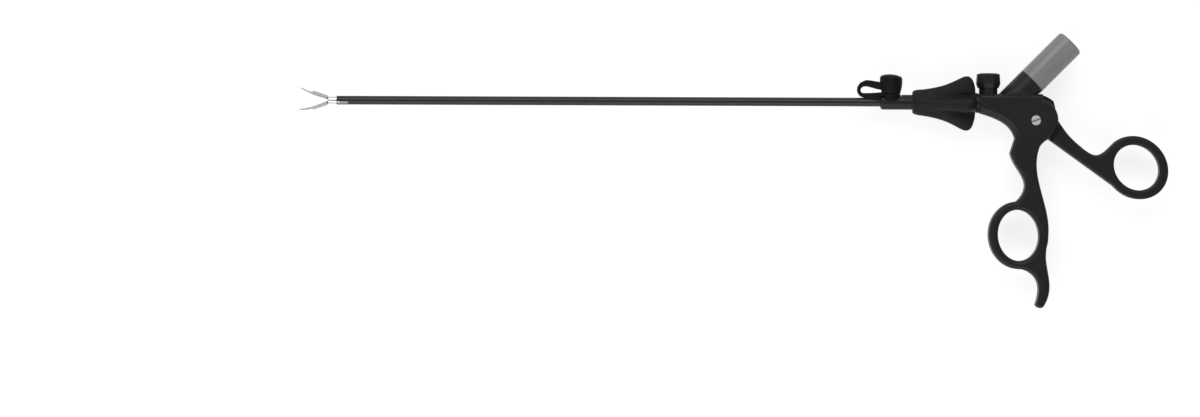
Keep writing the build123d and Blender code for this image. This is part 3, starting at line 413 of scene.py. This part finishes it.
def moulded_plastic(name, colour, edge_wear_and_highlight, parting=True, specular=0.22, rough=0.42):
    """Fine-textured injection-moulded plastic, lighter at its edges (partly wear, partly painted
    highlight), with a parting line.
    """
    made = Finish(name)
    cloud = made.noise(38.0, detail=4.0)
    grain = made.noise(2600.0, detail=2.0, rough=0.7)
    smear = made.noise(210.0, detail=5.0, rough=0.65, vector=made.mapped((1, 1, 0.6)))
    base = made.shades(cloud, colour, 0.86, 1.2)
    base = made.patches(base, grain, 0.35, 0.75, 0.22, scaled(colour, 1.8))
    rounded, edge = made.soft_edge(0.55 * MM)
    # Lighter edges in patches: partly wear, partly painted highlight where edges catch light
    rub = made.maths("MULTIPLY", edge, made.ramp(smear, 0.42, 0.72, 0.12, 0.75))
    base = made.blend_colour(rub, base, opaque(edge_wear_and_highlight))
    gloss = made.spread(smear, rough - 0.05, rough + 0.09)
    gloss = made.maths("ADD", gloss, made.spread(grain, -0.03, 0.03))
    normal = made.bump(grain, 0.03 * MM, 0.22, rounded)
    if parting:
        height = made.maths("ABSOLUTE", made.axis_value("Z"))
        line = made.ramp(height, 0.05 * MM, 0.16 * MM, 0.0, 1.0)
        normal = made.bump(line, 0.05 * MM, 0.5, normal)
    return made.finish(base, gloss, normal, specular=specular)


def soft_rubber(name, colour):
    """Silicone rubber with a dusty bloom and fine grain."""
    made = Finish(name)
    bloom = made.noise(140.0, detail=6.0, rough=0.6)
    grain = made.noise(3200.0, detail=2.0, rough=0.75)
    base = made.patches(scaled(colour, 0.8), bloom, 0.38, 0.72, 0.75, scaled(colour, 1.9))
    gloss = made.spread(bloom, 0.5, 0.64)
    dents = made.bump(bloom, 0.25 * MM, 0.12)
    normal = made.bump(grain, 0.03 * MM, 0.3, dents)
    made.shader.inputs["Sheen Weight"].default_value = 0.01
    made.shader.inputs["Sheen Roughness"].default_value = 0.5
    return made.finish(base, gloss, normal, specular=0.14)


def brushed_steel(name, colour, stretch, rough=0.27, edge_size=0.25 * MM, shade_reach=0.9 * MM):
    """Steel with fine lines along one direction and small scratches at an angle to them."""
    made = Finish(name)
    lines = made.noise(5200.0, detail=3.0, rough=0.6, vector=made.mapped(stretch))
    clouds = made.noise(260.0, detail=4.0)
    scratches = made.noise(900.0, detail=6.0, rough=0.8, vector=made.mapped(stretch, (0, 0, 0.4)))
    base = made.shades(lines, colour, 0.9, 1.06)
    base = made.patches(base, clouds, 0.5, 0.8, 0.3, scaled(colour, 0.78))
    rounded, edge = made.soft_edge(edge_size)
    # Lighter edges: partly wear, partly painted highlight
    base = made.worn_and_lit(base, edge, 0.5, scaled(colour, 1.25))
    # Painted shade: darker in narrow gaps and recesses
    base = made.painted_gap_shade(base, shade_reach)
    gloss = made.spread(lines, rough - 0.06, rough + 0.08)
    gloss = made.maths("ADD", gloss, made.ramp(scratches, 0.55, 0.8, 0.0, 0.14))
    normal = made.bump(lines, 0.01 * MM, 0.25, rounded)
    return made.finish(base, gloss, normal, metallic=1.0)


def jaw_steel(name, colour):
    """Steel that is blasted dull at the jaw's root and polished towards its tip."""
    made = Finish(name)
    polished = made.ramp(made.axis_value("X"), POLISH_BEGINS_X, POLISH_FULL_X, 0.0, 1.0)
    blast = made.noise(3800.0, detail=2.0, rough=0.7)
    lines = made.noise(5200.0, detail=3.0, rough=0.6, vector=made.mapped((18.0, 1, 1)))
    dull = made.shades(blast, colour, 0.62, 0.86)
    bright = made.shades(lines, colour, 1.3, 1.5)
    base = made.blend_colour(polished, dull, bright)
    rounded, edge = made.soft_edge(0.12 * MM)
    # Lighter edges: partly wear, partly painted highlight
    base = made.worn_and_lit(base, edge, 0.4, scaled(colour, 1.4))
    # Painted shade: darker in the narrow gaps of the jaws
    base = made.painted_gap_shade(base, 0.3 * MM)
    gloss = made.ramp(polished, 0.0, 1.0, 0.52, 0.3)
    gloss = made.maths("ADD", gloss, made.spread(lines, -0.04, 0.06))
    normal = made.bump(blast, 0.01 * MM, 0.3, rounded)
    return made.finish(base, gloss, normal, metallic=1.0)


def plated_contact(name, colour):
    """Gold-plated contact metal, a little worn at the nose."""
    made = Finish(name)
    wear = made.noise(700.0, detail=5.0)
    base = made.patches(colour, wear, 0.45, 0.7, 0.6, (0.62, 0.5, 0.3, 1.0))
    rounded, edge = made.soft_edge(0.15 * MM)
    gloss = made.maths("ADD", made.spread(wear, 0.2, 0.34), made.maths("MULTIPLY", edge, 0.05))
    normal = made.bump(wear, 0.01 * MM, 0.2, rounded)
    return made.finish(base, gloss, normal, metallic=1.0)


def shrunk_insulation(name, colour):
    """The thin black sleeve on the shaft, with faint draw lines and rub marks along it."""
    made = Finish(name)
    draw = made.noise(1500.0, detail=4.0, rough=0.6, vector=made.mapped((26.0, 1, 1)))
    rub = made.noise(60.0, detail=5.0, rough=0.7, vector=made.mapped((3.0, 1, 1)))
    base = made.shades(draw, colour, 0.85, 1.3)
    base = made.patches(base, rub, 0.55, 0.75, 0.35, scaled(colour, 2.0))
    rounded, edge = made.soft_edge(0.15 * MM)
    # Lighter edges: partly wear, partly painted highlight
    base = made.worn_and_lit(base, edge, 0.5, scaled(colour, 2.6))
    gloss = made.spread(rub, 0.3, 0.4)
    normal = made.bump(draw, 0.02 * MM, 0.2, rounded)
    return made.finish(base, gloss, normal, specular=0.36)


def sleeve_plastic(name, colour):
    """Grey polymer of the connector, with long streaks along its axis."""
    made = Finish(name)
    along = made.mapped((14.0, 1, 1), (0, 0, radians(45)))
    streak = made.noise(230.0, detail=4.0, rough=0.55, vector=along)
    fine = made.noise(2400.0, detail=2.0, rough=0.6, vector=along)
    speck = made.noise(2200.0, detail=2.0)
    base = made.patches(scaled(colour, 0.8), streak, 0.32, 0.68, 1.0, scaled(colour, 1.22))
    base = made.patches(base, speck, 0.4, 0.8, 0.16, scaled(colour, 0.6))
    rounded, edge = made.soft_edge(0.4 * MM)
    # Lighter edges: partly wear, partly painted highlight
    base = made.worn_and_lit(base, edge, 0.35, scaled(colour, 1.6))
    gloss = made.spread(streak, 0.34, 0.46)
    normal = made.bump(fine, 0.02 * MM, 0.25, rounded)
    return made.finish(base, gloss, normal, specular=0.4)


def finishes(colours):
    """Each finish with the parts that wear it."""
    black, edge_wear_and_highlight, rim, steel = colours.black, colours.black_edge_wear_and_highlight, colours.rim, colours.steel
    knob = moulded_plastic("knob_black", scaled(black, 1.15), edge_wear_and_highlight, parting=False, specular=0.12, rough=0.5)
    button = moulded_plastic("button_black", scaled(black, 1.12), edge_wear_and_highlight, parting=False, rough=0.36)
    insulator = moulded_plastic(
        "insulator_dark", (0.05, 0.05, 0.055), (0.1, 0.1, 0.1), parting=False, rough=0.5
    )
    bezel = moulded_plastic("rim_grey", rim, scaled(rim, 1.6), parting=False, rough=0.35)
    # Painted shade reaches far into the screw's slot and the gaps round it
    screw = brushed_steel(
        "steel_screw", scaled(steel, 1.05), ROUND_Z, rough=0.46, edge_size=0.15 * MM, shade_reach=2.2 * MM
    )
    rods = ["rod_guide_front", "rod_guide_rear", "rod_insulation"]
    fasteners = ["lever_bush", "fork_rivet_front", "fork_rivet_rear", "jaw_pivot_pin", "drive_pin"]
    return [
        (moulded_plastic("handle_black", black, edge_wear_and_highlight), ["handle_body"]),
        (moulded_plastic("lever_black", scaled(black, 0.96), edge_wear_and_highlight), ["thumb_lever"]),
        (knob, ["rotation_knob"]),
        (moulded_plastic("hub_black", scaled(black, 1.1), edge_wear_and_highlight, parting=False, rough=0.38), ["shaft_hub"]),
        (button, ["button_cap", "button_guide"]),
        (shrunk_insulation("shaft_sleeve", (0.012, 0.012, 0.0125)), ["tube_insulation"]),
        (sleeve_plastic("connector_grey", colours.sleeve), ["connector_sleeve"]),
        (insulator, ["connector_insulator", *rods]),
        (bezel, ["knob_bezel"]),
        (brushed_steel("steel_drawn", steel, ALONG_X), ["pull_rod", "drive_tongue", "jaw_clevis"]),
        (brushed_steel("steel_tube", scaled(steel, 0.42), ALONG_X, rough=0.36), ["outer_tube"]),
        (
            brushed_steel("steel_turned", steel, ROUND_X, rough=0.2),
            ["spigot", "drive_collar", "knob_retainer", "rod_ball"],
        ),
        (brushed_steel("steel_port", steel, ROUND_Y, rough=0.2), ["flush_port", "button_stem"]),
        (screw, ["pivot_screw", "pivot_nut", *fasteners]),
        (brushed_steel("steel_ground", steel, GROUND_Y), ["ball_fork", "latch_plate"]),
        (jaw_steel("steel_jaw", steel), ["upper_jaw", "lower_jaw"]),
        (
            plated_contact("contact_plating", (0.83, 0.66, 0.34, 1.0)),
            ["contact_pin_left", "contact_pin_right"],
        ),
    ]


# Modelling helpers


def clear_selection():
    """Object mode with nothing selected."""
    if bpy.context.object and bpy.context.object.mode != "OBJECT":
        bpy.ops.object.mode_set(mode="OBJECT")
    bpy.ops.object.select_all(action="DESELECT")


def open_piece(name):
    """The object just added, named and in edit mode with all of it selected."""
    piece = bpy.context.object
    piece.name = name
    piece.data.name = name
    bpy.ops.object.mode_set(mode="EDIT")
    bpy.ops.mesh.select_mode(type="FACE")
    return piece


def select_faces(piece, test):
    """Edit mode with only the faces selected whose centres pass a test."""
    bpy.ops.object.mode_set(mode="EDIT")
    bpy.ops.mesh.select_all(action="DESELECT")
    bpy.ops.object.mode_set(mode="OBJECT")
    for face in piece.data.polygons:
        face.select = test(piece.matrix_world @ face.center)
    bpy.ops.object.mode_set(mode="EDIT")


def ring_to(step, ratio, centre):
    """The selected face extruded by a step and scaled about its new centre."""
    bpy.ops.mesh.extrude_region_move(TRANSFORM_OT_translate={"value": step})
    bpy.ops.transform.resize(value=(ratio, ratio, ratio), center_override=centre)


def turned_along_y(piece_name, x, stations, sides):
    """A solid turned about an upright axis at x, through stations of (y, radius)."""
    clear_selection()
    y, radius = stations[0]
    bpy.ops.mesh.primitive_circle_add(
        vertices=sides, radius=radius, fill_type="NGON", location=(x, y, 0), rotation=(-pi / 2, 0, 0)
    )
    piece = open_piece(piece_name)
    for next_y, next_radius in stations[1:]:
        ring_to((0, next_y - y, 0), next_radius / radius, (x, next_y, 0))
        y, radius = next_y, next_radius
    return piece


def settle(piece, angle=35.0):
    """The piece out of edit mode, with its place in its mesh, outward faces and smooth shading."""
    bpy.ops.object.mode_set(mode="EDIT")
    bpy.ops.mesh.select_all(action="SELECT")
    bpy.ops.mesh.remove_doubles(threshold=0.002 * MM)
    bpy.ops.mesh.normals_make_consistent(inside=False)
    bpy.ops.object.mode_set(mode="OBJECT")
    clear_selection()
    piece.select_set(True)
    bpy.context.view_layer.objects.active = piece
    bpy.ops.object.transform_apply(location=True, rotation=True, scale=True)
    bpy.ops.object.shade_smooth_by_angle(angle=radians(angle))


def apply_modifier(piece, kind, **values):
    """A modifier added with its settings and applied at once."""
    clear_selection()
    piece.select_set(True)
    bpy.context.view_layer.objects.active = piece
    modifier = piece.modifiers.new(kind.lower(), kind)
    for key, value in values.items():
        setattr(modifier, key, value)
    bpy.ops.object.modifier_apply(modifier=modifier.name)


def round_edges(piece, width):
    """The piece's sharp edges rounded."""
    apply_modifier(
        piece, "BEVEL", width=width, segments=3, limit_method="ANGLE", angle_limit=radians(50)
    )


def cut(piece, tool):
    """A tool's shape cut out of a piece, and the tool removed."""
    apply_modifier(piece, "BOOLEAN", operation="DIFFERENCE", solver="EXACT", object=tool)
    bpy.data.objects.remove(tool)


def cut_bar(piece, radius, centre, length, turn, sides):
    """A round bar's shape cut out of a piece."""
    clear_selection()
    bpy.ops.mesh.primitive_cylinder_add(
        vertices=sides, radius=radius, depth=length, location=centre, rotation=turn
    )
    cut(piece, bpy.context.object)


def cover(piece, material):
    """A material as the piece's only one."""
    piece.data.materials.clear()
    piece.data.materials.append(material)


# Pieces


class FORCEPS_OT_port_cap(bpy.types.Operator):
    """Model the soft cap of the flush port"""

    bl_idname = "forceps.port_cap"
    bl_label = "Port cap"

    def execute(self, context):
        size = context.scene.forceps_cap
        low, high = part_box("port_cap")
        x = middle("port_cap").x
        foot, top = low[1], high[1]
        shoulder = top - size.dome - size.edge
        crown_radius = size.radius - size.edge
        outside = [
            (foot, size.foot_radius - size.lip),
            (foot + 0.15 * MM, size.foot_radius - 0.15 * MM),
            (foot + 0.55 * MM, size.foot_radius),
            (foot + 2.4 * MM, size.radius - 0.62 * MM),
            (foot + 4.2 * MM, size.radius - 0.25 * MM),
            (foot + 6.2 * MM, size.radius - 0.04 * MM),
            (shoulder, size.radius),
        ]
        for step in range(1, 7):
            turn = radians(15 * step)
            outside.append((shoulder + size.edge * sin(turn), crown_radius + size.edge * cos(turn)))
        outside.append((top - 0.28 * MM, crown_radius - 1.1 * MM))
        outside.append((top - 0.05 * MM, crown_radius - 2.9 * MM))
        outside.append((top, 0.7 * MM))
        piece = turned_along_y("flush_cap", x, outside, size.sides)
        select_faces(piece, lambda centre: centre.y < foot + 0.01 * MM)
        mouth = size.cavity_radius + size.chamfer
        ring_to((0, 0, 0), mouth / (size.foot_radius - size.lip), (x, foot, 0))
        ring_to((0, size.chamfer, 0), size.cavity_radius / mouth, (x, foot + size.chamfer, 0))
        ring_to((0, size.cavity_depth, 0), 0.97, (x, foot + size.chamfer + size.cavity_depth, 0))
        select_faces(piece, lambda centre: centre.y > shoulder + 0.01 * MM)
        bpy.ops.transform.rotate(value=size.tilt, orient_axis="Z", center_override=(x, shoulder, 0))
        settle(piece, 40)
        cover(piece, soft_rubber("cap_rubber", context.scene.forceps_finish.rubber))
        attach(piece, "cap")
        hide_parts("port_cap")
        return {"FINISHED"}


def strap_stations(size, x_cap, low, high):
    """Centre, direction and thickness along the strap, from the cap round to the ring."""
    thick, bend = size.thickness, size.bend_thickness
    left = low[0] - 0.35 * MM + bend / 2
    top = high[1] + 0.55 * MM - thick / 2
    return [
        (x_cap - 4.9 * MM, top - 1.65 * MM, 172, thick * 1.19),
        (x_cap - 8.3 * MM, top - 1.15 * MM, 171, thick * 1.14),
        (x_cap - 11.2 * MM, top - 0.45 * MM, 172, thick * 1.07),
        (x_cap - 14.0 * MM, top, 183, thick),
        (left + 1.85 * MM, top - 0.75 * MM, 213, thick * 0.81),
        (left + 0.4 * MM, top - 2.35 * MM, 244, bend * 1.12),
        (left, top - 3.85 * MM, 268, bend),
        (left + 0.35 * MM, top - 5.35 * MM, 291, bend),
        (left + 1.45 * MM, top - 6.5 * MM, 322, bend * 1.1),
        (left + 3.65 * MM, top - 7.0 * MM, 350, bend * 1.35),
        (left + 6.45 * MM, top - 7.35 * MM, 353, bend * 1.72),
        (left + 9.45 * MM, top - 7.6 * MM, 358, bend * 2.1),
        (x_cap - 5.5 * MM, top - 7.45 * MM, 362, bend * 2.28),
        (x_cap - 3.0 * MM, top - 7.5 * MM, 360, bend * 2.2),
    ]


class FORCEPS_OT_cap_strap(bpy.types.Operator):
    """Model the soft strap with its ring on the hub"""

    bl_idname = "forceps.cap_strap"
    bl_label = "Cap strap"

    def execute(self, context):
        size = context.scene.forceps_strap
        low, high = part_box("port_strap")
        x_cap = middle("port_cap").x
        stations = strap_stations(size, x_cap, low, high)
        x, y, turn, thick = stations[0]
        clear_selection()
        bpy.ops.mesh.primitive_plane_add(size=1, location=(x, y, 0), rotation=AXIS_X)
        strap = open_piece("cap_strap")
        bpy.ops.transform.resize(value=(1, thick, size.width), center_override=(x, y, 0))
        for next_x, next_y, next_turn, next_thick in stations[1:]:
            spot = (next_x, next_y, 0)
            ring_to((next_x - x, next_y - y, 0), next_thick / thick, spot)
            bpy.ops.transform.rotate(
                value=-radians(next_turn - turn), orient_axis="Z", center_override=spot
            )
            x, y, turn, thick = next_x, next_y, next_turn, next_thick
        settle(strap)
        round_edges(strap, 0.7 * MM)
        clear_selection()
        ring_low = low[1]
        bpy.ops.mesh.primitive_cylinder_add(
            vertices=64, radius=size.ring_radius, depth=RING_TOP - ring_low,
            location=(x_cap, (RING_TOP + ring_low) / 2, 0), rotation=AXIS_Y,
        )
        ring = open_piece("strap_ring")
        settle(ring)
        round_edges(ring, 0.6 * MM)
        strap.select_set(True)
        ring.select_set(True)
        bpy.context.view_layer.objects.active = strap
        bpy.ops.object.join()
        # One skin over strap and ring, with a soft corner between them
        apply_modifier(strap, "REMESH", mode="VOXEL", voxel_size=0.22 * MM)
        apply_modifier(strap, "SMOOTH", factor=0.5, iterations=8)
        for radius, start, end in (
            (HUB_CLEAR_RADIUS, HUB_CLEAR_FROM_X, CLEAR_LENGTH),
            (SHAFT_CLEAR_RADIUS, -CLEAR_LENGTH, SHAFT_CLEAR_TO_X),
        ):
            cut_bar(strap, radius, ((start + end) / 2, 0, 0), end - start, AXIS_X, 96)
        cut_bar(strap, size.neck_radius, (x_cap, 6 * MM, 0), 20 * MM, AXIS_Y, 64)
        clear_selection()
        bpy.ops.mesh.primitive_cube_add(size=1, location=(x_cap, FOOT_CLEAR[1] / 2, 0), scale=FOOT_CLEAR)
        cut(strap, bpy.context.object)
        settle(strap, 50)
        cover(strap, soft_rubber("strap_rubber", context.scene.forceps_finish.rubber))
        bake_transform(strap)
        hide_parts("port_strap")
        return {"FINISHED"}


class FORCEPS_OT_button_spring(bpy.types.Operator):
    """Model the coil spring under the release button"""

    bl_idname = "forceps.button_spring"
    bl_label = "Button spring"

    def execute(self, context):
        size = context.scene.forceps_spring
        low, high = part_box("button_spring")
        axis_x = middle("button_spring").x
        foot, top = low[1], high[1]
        height = top - foot - 2 * size.wire_radius
        clear_selection()
        bpy.ops.mesh.primitive_circle_add(
            vertices=size.sides, radius=size.wire_radius, fill_type="NOTHING",
            location=(size.coil_radius, 0, 0),
        )
        piece = bpy.context.object
        piece.name = "coil_spring"
        bpy.ops.object.transform_apply(location=True, rotation=True, scale=True)
        apply_modifier(
            piece, "SCREW", axis="Y", angle=2 * pi, screw_offset=height / size.turns,
            iterations=size.turns, steps=size.steps, render_steps=size.steps,
            use_merge_vertices=True, merge_threshold=0.01 * MM,
        )
        bpy.ops.object.mode_set(mode="EDIT")
        bpy.ops.mesh.select_all(action="SELECT")
        bpy.ops.mesh.fill_holes(sides=size.sides)
        bpy.ops.object.mode_set(mode="OBJECT")
        piece.location = (axis_x, foot + size.wire_radius, 0)
        settle(piece, 60)
        cover(piece, brushed_steel("spring_wire", context.scene.forceps_finish.steel, EVEN, rough=0.3))
        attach(piece, "handle")
        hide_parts("button_spring")
        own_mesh(piece)
        return {"FINISHED"}


class FORCEPS_OT_finishes(bpy.types.Operator):
    """Give the rigid parts their finishes"""

    bl_idname = "forceps.finishes"
    bl_label = "Finishes"

    def execute(self, context):
        done = set()
        for material, names in finishes(context.scene.forceps_finish):
            for name in names:
                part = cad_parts[name]
                for place in part.material_slots:
                    place.material = material
                done.add(name)
        replaced = {"port_cap", "port_strap", "button_spring"}
        missing = sorted(set(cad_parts) - done - replaced)
        if missing:
            raise RuntimeError(f"no finish for {missing}")
        return {"FINISHED"}


# Stage


def any_ray(tree, *kinds):
    """1 for rays of any of these kinds, 0 for the rest."""
    path = tree.nodes.new("ShaderNodeLightPath")
    found = path.outputs[kinds[0]]
    for kind in kinds[1:]:
        either = tree.nodes.new("ShaderNodeMath")
        either.operation = "MAXIMUM"
        tree.links.new(found, either.inputs[0])
        tree.links.new(path.outputs[kind], either.inputs[1])
        found = either.outputs[0]
    return found


def between(tree, share, low, high, start=0.0, end=1.0):
    """A value from low to high, each a number or an output, as the share goes from start to end."""
    node = tree.nodes.new("ShaderNodeMapRange")
    node.inputs["From Min"].default_value = start
    node.inputs["From Max"].default_value = end
    tree.links.new(share, node.inputs["Value"])
    for name, value in (("To Min", low), ("To Max", high)):
        if isinstance(value, bpy.types.NodeSocket):
            tree.links.new(value, node.inputs[name])
        else:
            node.inputs[name].default_value = value
    return node.outputs["Result"]


def floor_material():
    """Matt white board that stays white for the eye and still takes a shadow."""
    made = Finish("white_board")
    grain = made.noise(420.0, detail=3.0)
    shade = made.noise(6.0, detail=2.0)
    base = made.blend_colour(made.spread(shade), (0.31, 0.31, 0.31, 1), (0.33, 0.33, 0.33, 1))
    normal = made.bump(grain, 0.05 * MM, 0.1)
    made.finish(base, made.spread(grain, 0.75, 0.85), normal, specular=0.1)
    made.shader.inputs["Emission Color"].default_value = WHITE
    seen = any_ray(made.tree, "Is Camera Ray", "Is Transmission Ray", "Is Glossy Ray")
    glow = between(made.tree, seen, FLOOR_GLOW, FLOOR_GLOW_SEEN)
    made.join(glow, made.shader.inputs["Emission Strength"])
    return made.material


def area_lamp(name, power, place, target, width, depth):
    """A soft box lamp that faces a target."""
    bpy.ops.object.light_add(type="AREA", location=place)
    lamp = bpy.context.object
    lamp.name = name
    lamp.data.shape = "RECTANGLE"
    lamp.data.size = width
    lamp.data.size_y = depth
    lamp.data.energy = power
    lamp.rotation_euler = (Vector(target) - Vector(place)).to_track_quat("-Z", "Y").to_euler()


def surroundings(size):
    """White for the eye, an even fill for matt parts, and bright sides for shiny ones to mirror."""
    world = bpy.data.worlds.new("surroundings")
    world.use_nodes = True
    tree = world.node_tree
    direction = tree.nodes.new("ShaderNodeTexCoord")
    parts = tree.nodes.new("ShaderNodeSeparateXYZ")
    tree.links.new(direction.outputs["Generated"], parts.inputs["Vector"])
    across = tree.nodes.new("ShaderNodeMath")
    across.operation = "ABSOLUTE"
    tree.links.new(parts.outputs["Y"], across.inputs[0])
    mirrored = between(tree, across.outputs[0], size.overhead, size.rim, OVERHEAD_ENDS_Y, SURROUND_BEGINS_Y)
    path = tree.nodes.new("ShaderNodeLightPath")
    lit = between(tree, path.outputs["Is Glossy Ray"], size.fill, mirrored)
    strength = between(tree, any_ray(tree, "Is Camera Ray", "Is Transmission Ray"), lit, 1.0)
    tree.links.new(strength, tree.nodes["Background"].inputs["Strength"])
    tree.nodes["Background"].inputs["Color"].default_value = WHITE
    return world


class FORCEPS_OT_stage(bpy.types.Operator):
    """Set up the floor, the lamps, the surroundings and the camera"""

    bl_idname = "forceps.stage"
    bl_label = "Stage"

    def execute(self, context):
        size = context.scene.forceps_stage
        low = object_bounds()[0]
        clear_selection()
        bpy.ops.mesh.primitive_plane_add(size=FLOOR_SIZE, location=(FLOOR_X, 0, low[2]))
        floor = bpy.context.object
        floor.name = "floor"
        bpy.ops.object.transform_apply(location=True, rotation=True, scale=True)
        cover(floor, floor_material())
        floor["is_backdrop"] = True
        clear_selection()
        area_lamp("key", size.key_power, **KEY_LAMP)
        area_lamp("low", size.low_power, **LOW_LAMP)
        context.scene.world = surroundings(size)
        data = bpy.data.cameras.new("camera")
        data.sensor_width = SENSOR_WIDTH
        data.lens = SENSOR_WIDTH * size.camera_height / size.picture_width
        data.clip_end = CAMERA_REACH
        camera = bpy.data.objects.new("camera", data)
        context.scene.collection.objects.link(camera)
        camera.location = (CAMERA_X, CAMERA_Y, size.camera_height)
        camera.rotation_euler = (0, 0, size.roll)
        context.scene.camera = camera
        context.scene.view_settings.view_transform = "Standard"
        return {"FINISHED"}


class FORCEPS_PT_panel(bpy.types.Panel):
    """Forceps pieces and stage"""

    bl_idname = "FORCEPS_PT_panel"
    bl_label = "Bipolar forceps"
    bl_space_type = "VIEW_3D"
    bl_region_type = "UI"
    bl_category = "Forceps"

    def draw(self, context):
        for settings, operator in (
            ("forceps_cap", "forceps.port_cap"),
            ("forceps_strap", "forceps.cap_strap"),
            ("forceps_spring", "forceps.button_spring"),
            ("forceps_finish", "forceps.finishes"),
            ("forceps_stage", "forceps.stage"),
        ):
            column = self.layout.column(align=True)
            group = getattr(context.scene, settings)
            for name in group.bl_rna.properties.keys():
                if name not in ("rna_type", "name"):
                    column.prop(group, name)
            column.operator(operator)


SETTINGS = {
    "forceps_cap": CapSettings,
    "forceps_strap": StrapSettings,
    "forceps_spring": SpringSettings,
    "forceps_finish": FinishSettings,
    "forceps_stage": StageSettings,
}
CLASSES = (
    *SETTINGS.values(),
    FORCEPS_OT_port_cap,
    FORCEPS_OT_cap_strap,
    FORCEPS_OT_button_spring,
    FORCEPS_OT_finishes,
    FORCEPS_OT_stage,
    FORCEPS_PT_panel,
)


def register():
    for kind in CLASSES:
        bpy.utils.register_class(kind)
    for name, kind in SETTINGS.items():
        setattr(bpy.types.Scene, name, PointerProperty(type=kind))


def unregister():
    for name in SETTINGS:
        delattr(bpy.types.Scene, name)
    for kind in reversed(CLASSES):
        bpy.utils.unregister_class(kind)


def main():
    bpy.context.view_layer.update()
    register()
    bpy.ops.forceps.finishes()
    bpy.ops.forceps.port_cap()
    bpy.ops.forceps.cap_strap()
    bpy.ops.forceps.button_spring()
    bpy.ops.forceps.stage()


if __name__ == "__main__":
    main()
